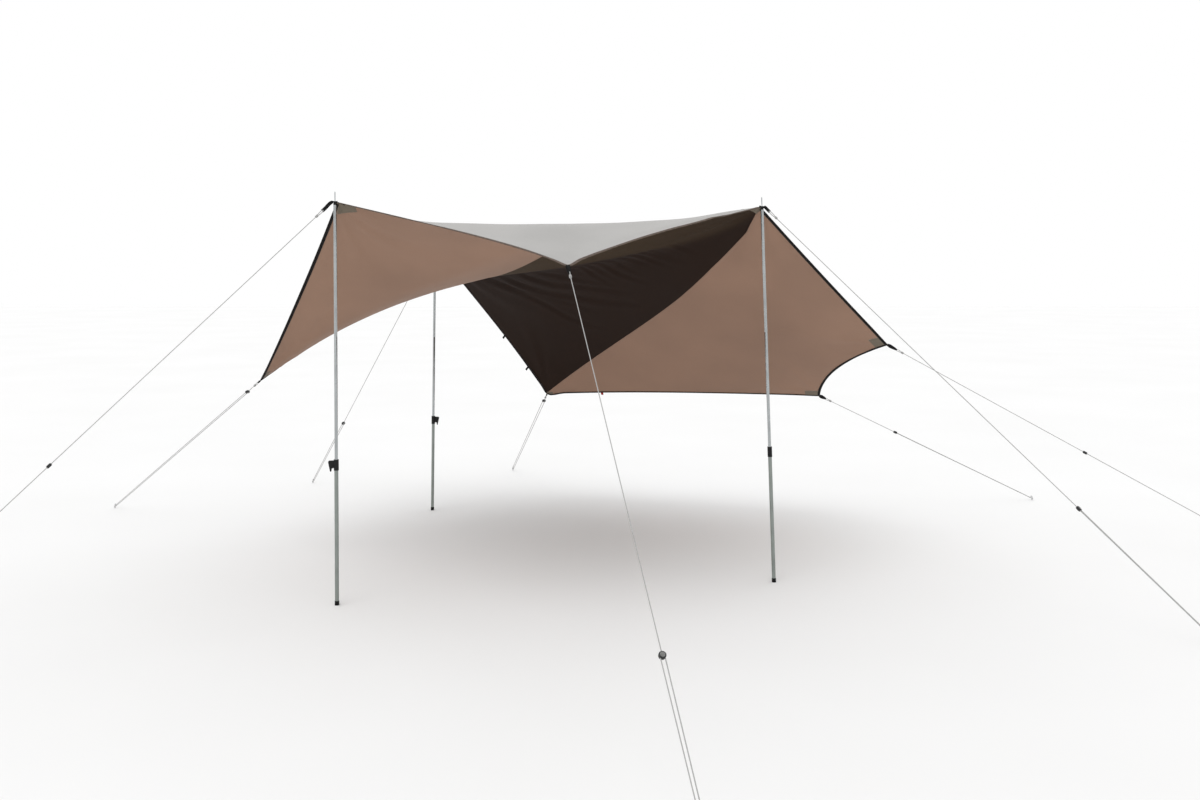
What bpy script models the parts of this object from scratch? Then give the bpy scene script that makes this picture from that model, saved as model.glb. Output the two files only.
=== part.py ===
"""Camping tarp on three telescopic poles, held out by eight guy lines.

Units are metres and +Z is up. The origin lies on the ground in the middle of
the pitch, +X runs to the right along the open front and +Y runs to the back.
The cloth is a tensioned net between eight points, so its shape follows from
those points and from how stiff each edge and seam is.
"""
import math

import bmesh
import bpy
import numpy as np
from mathutils import Matrix, Vector

# The eight points that hold the cloth out
LEFT_PEAK = (-1.583, -0.619, 2.012)
RIGHT_PEAK = (0.606, -0.207, 2.008)
BACK_PEAK = (-1.400, 1.607, 1.797)
FRONT_POINT = (-0.401, -1.310, 1.691)
LEFT_CORNER = (-2.253, 0.390, 1.014)
BACK_CORNER = (-0.639, 1.890, 0.770)
RIGHT_CORNER = (1.503, 0.690, 1.204)
FAR_CORNER = (1.200, 1.290, 0.824)

# Feet of the three poles, which lean out a little
LEFT_FOOT = (-1.571, -0.627)
RIGHT_FOOT = (0.670, -0.209)
BACK_FOOT = (-1.418, 1.606)

# Pegs of the guy lines on the ground
PEG_PLACES = {
    "left_peak": (-3.570, -1.210),
    "right_peak": (2.482, -1.310),
    "back_peak": (-2.488, 2.595),
    "front_point": (0.058, -3.163),
    "left_corner": (-3.639, 1.672),
    "back_corner": (-0.978, 3.163),
    "right_corner": (3.639, 0.316),
    "far_corner": (2.852, 1.946),
}
# How far down each line its runner sits, from the strap to the peg
RUNNER_SHARE = {
    "left_peak": 0.618,
    "right_peak": 0.721,
    "back_peak": 0.719,
    "front_point": 0.738,
    "left_corner": 0.061,
    "back_corner": 0.063,
    "right_corner": 0.514,
    "far_corner": 0.319,
}

# Cloth
CLOTH = 0.0024
SECTION_COLUMNS = 8
MAIN_ROWS = 16
FRONT_ROWS = 6
SEAM_GAP = 0.0003
PEAK_SETBACK = 0.020
CORNER_TRIM = 0.003

# Pulls in the net, as force per length, and the cloth's weight at each node
FIELD_PULL = 1.0
CROSS_PULL = 0.6
MIDDLE_SEAM_PULL = 2.3
RIGHT_SEAM_PULL = 1.0
RIDGE_PULL = (0.5, 28.0)
BACK_RIDGE_PULL = 1.7
VALLEY_PULL = 1.4
FRONT_HEM_PULL = (95.0, 22.5)
FRONT_ROW_PULL = 14.0
FRONT_CROSS_PULL = (12.0, 2.35)
SIDE_HEM_PULL = 120.0
BACK_HEM_PULL = (100.0, 30.0, 13.5)
LEFT_END_PULL = 400.0
RIGHT_END_PULL = 50.0
NODE_WEIGHT = 0.0026
# The roof's crest sits lower beside the left peak and higher in the middle:
# centre across the tarp, half width and height of each swell
ROOF_SWELLS = ((-1.17, 0.165, -0.028), (-0.45, 0.175, 0.0164), (0.205, 0.130, -0.0113))
SWELL_SHARE = 0.35
# The right seam bows outward: shares of its length from the peak, and shifts there
RIGHT_SEAM_BOW = ((0.0, 0.10, 0.25, 0.45, 0.70, 1.0), (0.0, 0.038, 0.021, 0.020, 0.010, 0.0))
BOW_SHARE = 0.75

# Webbing straps at the points
STRAP_WIDTH = 0.020
STRAP_THICK = 0.002
STRAP_FLAT = 0.012
STRAP_GAP = 0.0008
STRAP_TAIL = {
    "left_peak": 0.070,
    "right_peak": 0.045,
    "back_peak": 0.060,
    "front_point": 0.046,
    "left_corner": 0.028,
    "back_corner": 0.026,
    "right_corner": 0.060,
    "far_corner": 0.050,
}
SPIKE_HOLE_RADIUS = 0.0036

# Poles
UPPER_RADIUS = 0.0082
UPPER_WALL = 0.0012
LOWER_RADIUS = 0.0100
LOWER_BORE = 0.0088
SPIKE_RADIUS = 0.0028
SPIKE_LENGTH = 0.052
LOWER_SHARE = 0.3475
UPPER_OVERLAP = 0.200
JOINT_SHARE = 0.665
GROOVE = 0.0012
FOOT_RADIUS = 0.0112
FOOT_HEIGHT = 0.022
FOOT_FLOOR = 0.004
CLAMP_RADIUS = 0.0124
CLAMP_HEIGHT = 0.054
CLAMP_SKIRT = 0.028
CLAMP_STEP = 0.0004
LEVER_WIDTH = 0.014
LEVER_ROOT = 0.0018
LEVER_OUTLINE = (
    (-LEVER_ROOT, 0.012), (0.0110, 0.009), (0.0135, -0.006), (0.0170, -0.007),
    (0.0215, 0.012), (0.0275, 0.042), (0.0240, 0.048), (-LEVER_ROOT, 0.049))
GAP = 0.0003
TURNED_STEPS = 20

# Guy lines
CORD_RADIUS = 0.0020
RUNNER_RADIUS = 0.0130
RUNNER_THICK = 0.0130
RUNNER_INLET = 0.005
RUNNER_BEVEL = 0.0016
RUNNER_CLEARANCE = 0.0004
STRAND_SPREAD = 0.0080
PEG_RADIUS = 0.0030
PEG_HEIGHT = 0.030
PEG_HOOK = 0.007
LOOP_HEIGHT = 0.012
TURN_SLACK = 0.0006

COLOURS = {
    "cloth_brown": ((0.260, 0.175, 0.130, 1.0), 0.75, 0.0),
    "cloth_dark": ((0.035, 0.024, 0.020, 1.0), 0.70, 0.0),
    "webbing": ((0.012, 0.012, 0.012, 1.0), 0.85, 0.0),
    "steel": ((0.560, 0.570, 0.560, 1.0), 0.32, 1.0),
    "plastic": ((0.010, 0.011, 0.011, 1.0), 0.45, 0.0),
    "rubber": ((0.008, 0.008, 0.008, 1.0), 0.80, 0.0),
    "cord": ((0.620, 0.620, 0.610, 1.0), 0.70, 0.0),
}


def clear_scene():
    for old in list(bpy.data.objects):
        bpy.data.objects.remove(old, do_unlink=True)


def new_collection(name):
    group = bpy.data.collections.new(name)
    bpy.context.scene.collection.children.link(group)
    return group


def material(name, finish):
    colour, roughness, metallic = COLOURS[finish]
    skin = bpy.data.materials.new(name)
    skin.use_nodes = True
    shader = skin.node_tree.nodes["Principled BSDF"]
    shader.inputs["Base Color"].default_value = colour
    shader.inputs["Roughness"].default_value = roughness
    shader.inputs["Metallic"].default_value = metallic
    skin.diffuse_color = colour
    return skin


def add_piece(name, data, finish, group, parent=None):
    piece = bpy.data.objects.new(name, data)
    group.objects.link(piece)
    piece.parent = parent
    piece.data.materials.append(material(name, finish))
    return piece


def unit(vector):
    vector = np.asarray(vector, dtype=float)
    return vector / np.linalg.norm(vector)


# Cloth net

class ClothNet:
    """Nodes and pulls of the cloth, solved for balance with its points held.

    The main rows run from the front ridge to the back hem, and the front rows
    from the ridge to the front hem. Columns 0 to n are the left section, n to
    2n the middle one and 2n to 3n the right one.
    """

    def __init__(self, held):
        n, m = SECTION_COLUMNS, MAIN_ROWS
        self.main = np.arange((3 * n + 1) * (m + 1)).reshape(m + 1, 3 * n + 1)
        count = self.main.size
        self.front = np.zeros((FRONT_ROWS + 1, 2 * n + 1), dtype=int)
        self.front[0] = self.main[0, :2 * n + 1]
        self.front[:, 0] = self.main[0, 0]
        self.front[:, -1] = self.main[0, 2 * n]
        for row in range(1, FRONT_ROWS + 1):
            for column in range(1, 2 * n):
                self.front[row, column] = count
                count += 1
        self.balance = np.zeros((count, count))
        self.fixed = {
            self.main[0, 0]: held["left_peak"],
            self.main[0, 2 * n]: held["right_peak"],
            self.main[0, 3 * n]: held["right_corner"],
            self.main[m, 0]: held["left_corner"],
            self.main[m, n]: held["back_peak"],
            self.main[m, 2 * n]: held["back_corner"],
            self.main[m, 3 * n]: held["far_corner"],
            self.front[-1, n]: held["front_point"],
        }

    def tie(self, line, pull):
        for a, b in zip(line[:-1], line[1:]):
            if a == b:
                continue
            self.balance[a, a] += pull
            self.balance[b, b] += pull
            self.balance[a, b] -= pull
            self.balance[b, a] -= pull

    def tie_edges(self):
        n, m = SECTION_COLUMNS, MAIN_ROWS
        for part in range(2):
            span = slice(part * n, (part + 1) * n + 1)
            self.tie(self.main[0, span], RIDGE_PULL[part])
            self.tie(self.front[-1, span], FRONT_HEM_PULL[part])
        self.tie(self.main[0, 2 * n:], SIDE_HEM_PULL)
        for part, pull in enumerate(BACK_HEM_PULL):
            self.tie(self.main[m, part * n:(part + 1) * n + 1], pull)
        self.tie(self.main[:, 0], LEFT_END_PULL)
        self.tie(self.main[:, -1], RIGHT_END_PULL)

    def tie_field(self):
        n, m = SECTION_COLUMNS, MAIN_ROWS
        for row in range(1, m):
            self.tie(self.main[row], FIELD_PULL)
        seams = {n: MIDDLE_SEAM_PULL, 2 * n: RIGHT_SEAM_PULL}
        for column in range(1, 3 * n):
            self.tie(self.main[:, column], seams.get(column, CROSS_PULL))
        for row in range(1, FRONT_ROWS):
            self.tie(self.front[row], FRONT_ROW_PULL)
        for column in range(1, n):
            self.tie(self.front[:, column], FRONT_CROSS_PULL[0])
            self.tie(self.front[:, n + column], FRONT_CROSS_PULL[1])
        self.tie(self.front[:, n], CROSS_PULL)

    def tie_folds(self):
        """The ridge from the back peak, and the valley from the left corner."""
        n, m = SECTION_COLUMNS, MAIN_ROWS
        for shift in (-1, 0, 0, 1):
            valley = [self.main[m - 2 * k + shift, k] for k in range(1, n)]
            ridge = [self.main[m - 2 * k + shift, n + k] for k in range(1, n)]
            self.tie([self.main[m, 0], *valley, *self.front[:, n]], VALLEY_PULL)
            self.tie([self.main[m, n], *ridge, self.main[0, 2 * n]], BACK_RIDGE_PULL)

    def solve(self):
        held = np.array(sorted(self.fixed))
        places = np.zeros((len(self.balance), 3))
        places[held] = [self.fixed[node] for node in held]
        free = np.setdiff1d(np.arange(len(self.balance)), held)
        load = -self.balance[np.ix_(free, held)] @ places[held]
        load[:, 2] -= NODE_WEIGHT
        places[free] = np.linalg.solve(self.balance[np.ix_(free, free)], load)
        return places

    def swell_roof(self, places):
        """Raise and lower the crest a little, fading to the front hem and to the back."""
        moved = np.zeros(len(places))
        for row in range(MAIN_ROWS):
            fade = max(1 - row / (SWELL_SHARE * MAIN_ROWS), 0)
            moved[self.main[row, 1:2 * SECTION_COLUMNS]] = fade ** 2
        for row in range(1, FRONT_ROWS):
            moved[self.front[row, 1:-1]] = 1 - (row / FRONT_ROWS) ** 2
        for centre, half_width, height in ROOF_SWELLS:
            aside = (places[:, 0] - centre) / half_width
            places[:, 2] += moved * height * np.exp(-aside ** 2 / 2)

    def bow_seam(self, places):
        """Bow the right seam sideways, fading into the cloth on both sides."""
        n = SECTION_COLUMNS
        for row in range(1, MAIN_ROWS):
            shift = np.interp(row / MAIN_ROWS, *RIGHT_SEAM_BOW)
            for column in range(n + 1, 3 * n):
                fade = max(1 - abs(column - 2 * n) / (BOW_SHARE * n), 0)
                places[self.main[row, column], 0] += shift * fade ** 2 * (3 - 2 * fade)


def seam_setback(seam, inner_a, inner_b):
    """How far each cloth stops short of a seam, more where it folds."""
    gaps = []
    for k, place in enumerate(seam):
        ahead = seam[min(k + 1, len(seam) - 1)]
        behind = seam[max(k - 1, 0)]
        along = unit(ahead - behind)
        side_a = np.cross(along, inner_a[k] - place)
        side_b = np.cross(inner_b[k] - place, along)
        if min(np.linalg.norm(side_a), np.linalg.norm(side_b)) < 1e-9:
            gaps.append(SEAM_GAP)
            continue
        cosine = float(np.clip(np.dot(unit(side_a), unit(side_b)), -1.0, 1.0))
        fold = math.acos(cosine)
        gaps.append(SEAM_GAP / 2 + CLOTH / 2 * math.tan(fold / 2) * 1.15)
    return gaps


def draw_back(edge, inner, gaps):
    """Move an edge of a panel towards the row inside it."""
    return np.array([p + gap * unit(q - p) for p, q, gap in zip(edge, inner, gaps)])


def panel_grids(held):
    """Places of the three sections, each short of its seams, from front to back."""
    n = SECTION_COLUMNS
    net = ClothNet(held)
    net.tie_edges()
    net.tie_field()
    net.tie_folds()
    places = net.solve()
    net.swell_roof(places)
    net.bow_seam(places)
    main = places[net.main]
    roof = np.concatenate([places[net.front][:0:-1], main[:, :2 * n + 1]])
    left = roof[:, :n + 1].copy()
    middle = roof[:, n:].copy()
    right = main[:, 2 * n:].copy()

    gap = seam_setback(roof[:, n], roof[:, n - 1], roof[:, n + 1])
    left[:, -1] = draw_back(roof[:, n], roof[:, n - 1], gap)
    middle[:, 0] = draw_back(roof[:, n], roof[:, n + 1], gap)
    gap = seam_setback(main[:, 2 * n], main[:, 2 * n - 1], main[:, 2 * n + 1])
    middle[FRONT_ROWS:, -1] = draw_back(main[:, 2 * n], main[:, 2 * n - 1], gap)
    right[:, 0] = draw_back(main[:, 2 * n], main[:, 2 * n + 1], gap)

    for panel, corner, inner in (
            (left, (0, -1), (1, -2)), (left, (-1, -1), (-2, -2)),
            (middle, (0, 0), (1, 1)), (middle, (-1, 0), (-2, 1)), (middle, (-1, -1), (-2, -2)),
            (right, (0, 0), (1, 1)), (right, (-1, 0), (-2, 1))):
        panel[corner] += CORNER_TRIM * unit(panel[inner] - panel[corner])
    right_tip = roof[FRONT_ROWS, -1] + CORNER_TRIM * unit(roof[FRONT_ROWS + 1, -2] - roof[FRONT_ROWS, -1])
    middle[:FRONT_ROWS + 1, -1] = right_tip
    return {"left_panel": left, "middle_panel": middle, "right_panel": right}


def cloth_panel(name, grid, finish, group):
    """A grid of places as a sheet with the cloth's thickness."""
    rows, columns = grid.shape[:2]
    sheet = bmesh.new()
    bmesh.ops.create_grid(sheet, x_segments=columns - 1, y_segments=rows - 1, size=1.0)
    sheet.verts.ensure_lookup_table()
    ordered = sorted(sheet.verts, key=lambda v: (round(v.co.y, 5), round(v.co.x, 5)))
    for vertex, place in zip(ordered, grid.reshape(-1, 3)):
        vertex.co = Vector(place)
    bmesh.ops.remove_doubles(sheet, verts=sheet.verts, dist=0.00001)
    mesh = bpy.data.meshes.new(name)
    sheet.to_mesh(mesh)
    sheet.free()
    mesh.shade_smooth()
    panel = add_piece(name, mesh, finish, group)
    skin = panel.modifiers.new("cloth", "SOLIDIFY")
    skin.thickness = CLOTH
    skin.offset = 0.0
    return panel


# Turned and drawn pieces

def turned(name, profile, finish, group, parent):
    """Spin a closed outline of (radius, height) about the local Z axis."""
    mesh = bpy.data.meshes.new(name)
    outline = bmesh.new()
    points = [outline.verts.new((radius, 0.0, height)) for radius, height in profile]
    closed = min(radius for radius, height in profile) > 0.0
    for a, b in zip(points[:-1], points[1:]):
        outline.edges.new((a, b))
    if closed:
        outline.edges.new((points[-1], points[0]))
    outline.to_mesh(mesh)
    outline.free()
    piece = add_piece(name, mesh, finish, group, parent)
    spin = piece.modifiers.new("turn", "SCREW")
    spin.axis = "Z"
    spin.angle = 2 * math.pi
    spin.steps = TURNED_STEPS
    spin.render_steps = TURNED_STEPS
    spin.use_merge_vertices = True
    spin.merge_threshold = 0.00001
    spin.use_smooth_shade = False
    return piece


def drawn_curve(name, points, radius, finish, group, resolution=2):
    curve = bpy.data.curves.new(name, "CURVE")
    curve.dimensions = "3D"
    curve.bevel_depth = radius
    curve.bevel_resolution = resolution
    curve.use_fill_caps = True
    spline = curve.splines.new("POLY")
    spline.points.add(len(points) - 1)
    for knot, place in zip(spline.points, points):
        knot.co = (*place, 1.0)
    return add_piece(name, curve, finish, group)


def as_cutter(piece, cutters):
    for owner in list(piece.users_collection):
        owner.objects.unlink(piece)
    cutters.objects.link(piece)
    piece.hide_render = True
    piece.display_type = "WIRE"
    return piece


def cut(piece, tool, operation="DIFFERENCE"):
    step = piece.modifiers.new(operation.lower(), "BOOLEAN")
    step.operation = operation
    step.solver = "EXACT"
    step.object = tool


def rod(name, radius, height, segments=16):
    shape = bmesh.new()
    bmesh.ops.create_cone(
        shape, cap_ends=True, segments=segments, radius1=radius, radius2=radius, depth=height)
    mesh = bpy.data.meshes.new(name)
    shape.to_mesh(mesh)
    shape.free()
    return mesh


def lever_shape(name):
    """The clamp's lever: a flap that stands open beside the clamp."""
    shape = bmesh.new()
    near, far = [
        [shape.verts.new((x, side * LEVER_WIDTH / 2, z)) for x, z in LEVER_OUTLINE]
        for side in (-1, 1)]
    shape.faces.new(near)
    shape.faces.new(far)
    for k in range(len(near)):
        after = (k + 1) % len(near)
        shape.faces.new((near[k], near[after], far[after], far[k]))
    bmesh.ops.recalc_face_normals(shape, faces=shape.faces)
    mesh = bpy.data.meshes.new(name)
    shape.to_mesh(mesh)
    shape.free()
    return mesh


# Poles

def pole_axis(foot, peak):
    """Empty on the pole's axis, with its Z along the pole."""
    base = Vector((foot[0], foot[1], 0.0))
    along = Vector(peak) - base
    marker = bpy.data.objects.new("pole_axis", None)
    marker.location = base
    marker.rotation_mode = "QUATERNION"
    marker.rotation_quaternion = along.to_track_quat("Z", "Y")
    return marker, along.length


def level_foot(piece, marker):
    """Slope the bottom of the foot so that it rests flat on the ground."""
    tilt = marker.rotation_quaternion.to_matrix()
    for vertex in piece.data.vertices:
        if vertex.co.z < 0.0005:
            vertex.co.z = -(tilt[2][0] * vertex.co.x + tilt[2][1] * vertex.co.y) / tilt[2][2]


def foot_cap(name, group, marker):
    """Rubber cup under the tube, flat where it meets the ground."""
    mesh = rod(name, FOOT_RADIUS, FOOT_HEIGHT, TURNED_STEPS)
    mesh.transform(Matrix.Translation((0.0, 0.0, FOOT_HEIGHT / 2)))
    cap = add_piece(name, mesh, "rubber", group, marker)
    level_foot(cap, marker)
    return cap


def build_pole(side, foot, peak, lever_turn, group, cutters):
    marker, length = pole_axis(foot, peak)
    marker.name = side + "_pole_axis"
    group.objects.link(marker)
    shoulder = length - STRAP_THICK / 2 - GAP
    split = LOWER_SHARE * length
    upper_end = split - UPPER_OVERLAP
    joint = JOINT_SHARE * length

    cap = foot_cap(side + "_pole_foot", group, marker)
    socket = bpy.data.objects.new(
        side + "_foot_socket", rod(side + "_foot_socket", LOWER_RADIUS + GAP, FOOT_HEIGHT, TURNED_STEPS))
    socket.location = (0.0, 0.0, FOOT_FLOOR + FOOT_HEIGHT / 2)
    socket.parent = marker
    as_cutter(socket, cutters)
    cut(cap, socket)

    lower_start = FOOT_FLOOR + GAP
    lower = turned(side + "_pole_lower", [
        (LOWER_RADIUS, split), (LOWER_RADIUS, lower_start),
        (LOWER_BORE, lower_start), (LOWER_BORE, split)], "steel", group, marker)
    upper = turned(side + "_pole_upper", [
        (0.0, shoulder + SPIKE_LENGTH),
        (SPIKE_RADIUS * 0.6, shoulder + SPIKE_LENGTH),
        (SPIKE_RADIUS, shoulder + SPIKE_LENGTH - SPIKE_RADIUS),
        (SPIKE_RADIUS, shoulder),
        (UPPER_RADIUS, shoulder),
        (UPPER_RADIUS, joint + GROOVE),
        (UPPER_RADIUS - GROOVE / 2, joint + GROOVE),
        (UPPER_RADIUS - GROOVE / 2, joint),
        (UPPER_RADIUS, joint),
        (UPPER_RADIUS, upper_end),
        (UPPER_RADIUS - UPPER_WALL, upper_end),
        (UPPER_RADIUS - UPPER_WALL, shoulder - UPPER_WALL),
        (0.0, shoulder - UPPER_WALL)], "steel", group, marker)
    base = split - CLAMP_SKIRT
    bore_low = LOWER_RADIUS + CLAMP_STEP
    bore_high = UPPER_RADIUS + CLAMP_STEP
    clamp = turned(side + "_pole_clamp", [
        (CLAMP_RADIUS, base + CLAMP_HEIGHT), (CLAMP_RADIUS, base),
        (bore_low, base), (bore_low, split + CLAMP_STEP),
        (bore_high, split + CLAMP_STEP), (bore_high, base + CLAMP_HEIGHT)], "plastic", group, marker)
    lever = bpy.data.objects.new(side + "_lever_shape", lever_shape(side + "_lever_shape"))
    facing = marker.rotation_quaternion.inverted() @ Vector((math.cos(lever_turn), math.sin(lever_turn), 0.0))
    turn = math.atan2(facing.y, facing.x)
    lever.location = (CLAMP_RADIUS * math.cos(turn), CLAMP_RADIUS * math.sin(turn), base)
    lever.rotation_euler = (0.0, 0.0, turn)
    lever.parent = marker
    as_cutter(lever, cutters)
    cut(clamp, lever, "UNION")
    return cap, lower, upper, clamp


# Straps, cords and pegs

def ribbon(name, path, finish, group, level_count=0):
    """A flat band of webbing along a path.

    Its width is level at the first level_count places and upright at the rest.
    """
    path = [np.asarray(p, dtype=float) for p in path]
    shape = bmesh.new()
    rows = []
    for k, place in enumerate(path):
        ahead = path[min(k + 1, len(path) - 1)]
        behind = path[max(k - 1, 0)]
        flat = unit([*(ahead - behind)[:2], 0.0])
        side = np.array([-flat[1], flat[0], 0.0])
        if k >= level_count:
            side = unit(np.cross(ahead - behind, side))
        side = side * STRAP_WIDTH / 2
        rows.append([shape.verts.new(place + side), shape.verts.new(place - side)])
    for first, second in zip(rows[:-1], rows[1:]):
        shape.faces.new((first[0], first[1], second[1], second[0]))
    mesh = bpy.data.meshes.new(name)
    shape.to_mesh(mesh)
    shape.free()
    strap = add_piece(name, mesh, finish, group)
    skin = strap.modifiers.new("webbing", "SOLIDIFY")
    skin.thickness = STRAP_THICK
    skin.offset = 0.0
    return strap


def cord_start(place, point, peg):
    """The end of a point's strap, where its cord begins, and the cord's heading."""
    start = np.array(point, dtype=float)
    ground = np.array([peg[0], peg[1], LOOP_HEIGHT])
    heading = unit(ground - start)
    if place.endswith("peak"):
        out = unit([heading[0], heading[1], 0.0])
        bend = start + STRAP_FLAT * out
        heading = unit(ground - bend)
        return bend + STRAP_TAIL[place] * heading, heading
    return start + (SEAM_GAP + STRAP_TAIL[place]) * heading, heading


def peak_strap(place, point, fabric_tip, peg, marker, group, cutters):
    """Webbing that drops over the spike, with a tail down to the guy line."""
    centre = np.array(point, dtype=float)
    inward = unit([*(fabric_tip - centre)[:2], 0.0])
    out = unit([peg[0] - centre[0], peg[1] - centre[1], 0.0])
    end, heading = cord_start(place, point, peg)
    towards = unit(fabric_tip - (centre + STRAP_FLAT * inward))
    path = [fabric_tip - STRAP_GAP * towards, centre + STRAP_FLAT * inward, centre, centre + STRAP_FLAT * out, end]
    strap = ribbon(place + "_strap", path, "webbing", group, level_count=4)
    hole = bpy.data.objects.new(
        place + "_spike_hole", rod(place + "_spike_hole", SPIKE_HOLE_RADIUS, 0.03, 12))
    hole.location = centre
    hole.rotation_mode = "QUATERNION"
    hole.rotation_quaternion = marker.rotation_quaternion
    as_cutter(hole, cutters)
    cut(strap, hole)
    return strap


def corner_strap(place, point, tip, peg, group):
    """A short webbing loop from a corner of the cloth to its guy line."""
    end, heading = cord_start(place, point, peg)
    start = tip + SEAM_GAP * heading
    return ribbon(place + "_strap", [start, end], "webbing", group)


def curve_as_mesh(piece):
    """Turn a tube into one welded mesh, so that it can be a cutter."""
    graph = bpy.context.evaluated_depsgraph_get()
    mesh = bpy.data.meshes.new_from_object(piece.evaluated_get(graph))
    shell = bmesh.new()
    shell.from_mesh(mesh)
    bmesh.ops.remove_doubles(shell, verts=shell.verts, dist=0.00001)
    bmesh.ops.recalc_face_normals(shell, faces=shell.faces)
    shell.to_mesh(mesh)
    shell.free()
    solid = bpy.data.objects.new(piece.name + "_mesh", mesh)
    solid.matrix_world = piece.matrix_world
    bpy.data.objects.remove(piece, do_unlink=True)
    return solid


def guy_line(place, point, peg, group, cutters):
    """Cord from strap through runner, round peg and back, with the runner and peg."""
    begin, heading = cord_start(place, point, peg)
    begin = begin + (GAP + 0.0002) * heading
    turn_centre = np.array([peg[0], peg[1], LOOP_HEIGHT])
    along = unit(turn_centre - begin)
    side = unit(np.cross(along, [0.0, 0.0, 1.0]))
    away = unit([along[0], along[1], 0.0])
    turn_radius = PEG_RADIUS + CORD_RADIUS + TURN_SLACK
    turn = []
    for step in range(7):
        angle = math.pi * step / 6
        turn.append(turn_centre + turn_radius * (math.cos(angle) * side + math.sin(angle) * away))
    drum = begin + along * np.linalg.norm(turn_centre - begin) * RUNNER_SHARE[place]
    inlet = drum - RUNNER_INLET * along
    outlets = [drum + RUNNER_INLET * along + sign * STRAND_SPREAD * side for sign in (1, -1)]
    drawn_curve(place + "_cord", [begin, inlet, outlets[0], *turn, outlets[1]], CORD_RADIUS, "cord", group)

    shape = rod(place + "_runner", RUNNER_RADIUS, RUNNER_THICK, 24)
    runner = add_piece(place + "_runner", shape, "plastic", group)
    up = np.cross(side, along)
    frame = Matrix([[side[k], along[k], up[k]] for k in range(3)]).to_4x4()
    runner.matrix_world = Matrix.Translation(drum) @ frame
    rim = runner.modifiers.new("rim", "BEVEL")
    rim.width = RUNNER_BEVEL
    rim.segments = 2
    rim.limit_method = "ANGLE"
    rim.angle_limit = math.radians(50.0)
    bore = CORD_RADIUS + RUNNER_CLEARANCE
    for index, path in enumerate((
            [drum - 2 * RUNNER_RADIUS * along, inlet, outlets[0], outlets[0] + 0.3 * (turn[0] - outlets[0])],
            [outlets[1] - RUNNER_CLEARANCE * unit(turn[-1] - outlets[1]),
             outlets[1] + 0.3 * (turn[-1] - outlets[1])])):
        channel = drawn_curve(f"{place}_channel_{index}", path, bore, "cord", group)
        cut(runner, as_cutter(curve_as_mesh(channel), cutters))

    hook = [(0.0, 0.0, 0.0), (0.0, 0.0, PEG_HEIGHT - PEG_HOOK)]
    for step in range(1, 6):
        angle = math.pi * step / 5
        hook.append((PEG_HOOK * (1 - math.cos(angle)), 0.0, PEG_HEIGHT - PEG_HOOK + PEG_HOOK * math.sin(angle)))
    places = [(peg[0] - x * away[0], peg[1] - x * away[1], z) for x, y, z in hook]
    drawn_curve(place + "_peg", places, PEG_RADIUS, "steel", group)


def build_tarp():
    clear_scene()
    tarp = new_collection("camping_tarp")
    cutters = new_collection("cutters")
    points = {
        "left_peak": LEFT_PEAK,
        "right_peak": RIGHT_PEAK,
        "back_peak": BACK_PEAK,
        "front_point": FRONT_POINT,
        "left_corner": LEFT_CORNER,
        "back_corner": BACK_CORNER,
        "right_corner": RIGHT_CORNER,
        "far_corner": FAR_CORNER,
    }
    middle = np.mean([points[k] for k in points], axis=0)
    held = {place: np.array(point) for place, point in points.items()}
    for place in ("left_peak", "right_peak", "back_peak"):
        held[place] = held[place] + PEAK_SETBACK * unit(middle - held[place])
    grids = panel_grids(held)
    for name, grid in grids.items():
        cloth_panel(name, grid, "cloth_dark" if name == "middle_panel" else "cloth_brown", tarp)

    markers = {}
    for side, foot, lever_turn in (
            ("left", LEFT_FOOT, math.radians(180.0)),
            ("right", RIGHT_FOOT, math.radians(74.0)),
            ("back", BACK_FOOT, math.radians(0.0))):
        build_pole(side, foot, points[side + "_peak"], lever_turn, tarp, cutters)
        markers[side + "_peak"] = bpy.data.objects[side + "_pole_axis"]
    tips = {
        "left_peak": grids["left_panel"][FRONT_ROWS, 0],
        "right_peak": grids["right_panel"][0, 0],
        "back_peak": grids["left_panel"][-1, -1],
        "back_corner": (grids["middle_panel"][-1, -1] + grids["right_panel"][-1, 0]) / 2,
        "front_point": (grids["left_panel"][0, -1] + grids["middle_panel"][0, 0]) / 2,
    }
    for place, point in points.items():
        peg = PEG_PLACES[place]
        if place in markers:
            peak_strap(place, point, tips[place], peg, markers[place], tarp, cutters)
        else:
            corner_strap(place, point, tips.get(place, point), peg, tarp)
        guy_line(place, point, peg, tarp, cutters)


build_tarp()
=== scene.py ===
# %% [markdown]
# # A camping tarp, dressed for its portrait
# The tarp is one big cloth, sewn from three sections and held out by three
# telescopic poles and eight guy lines. The solid model gives the frame: where
# every peak, corner, pole and peg is. This lesson adds what the eye expects:
# thin cloth with creases, bindings, seams, stitches, webbing, cord and metal.

# %% Load the frame
import math

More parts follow.
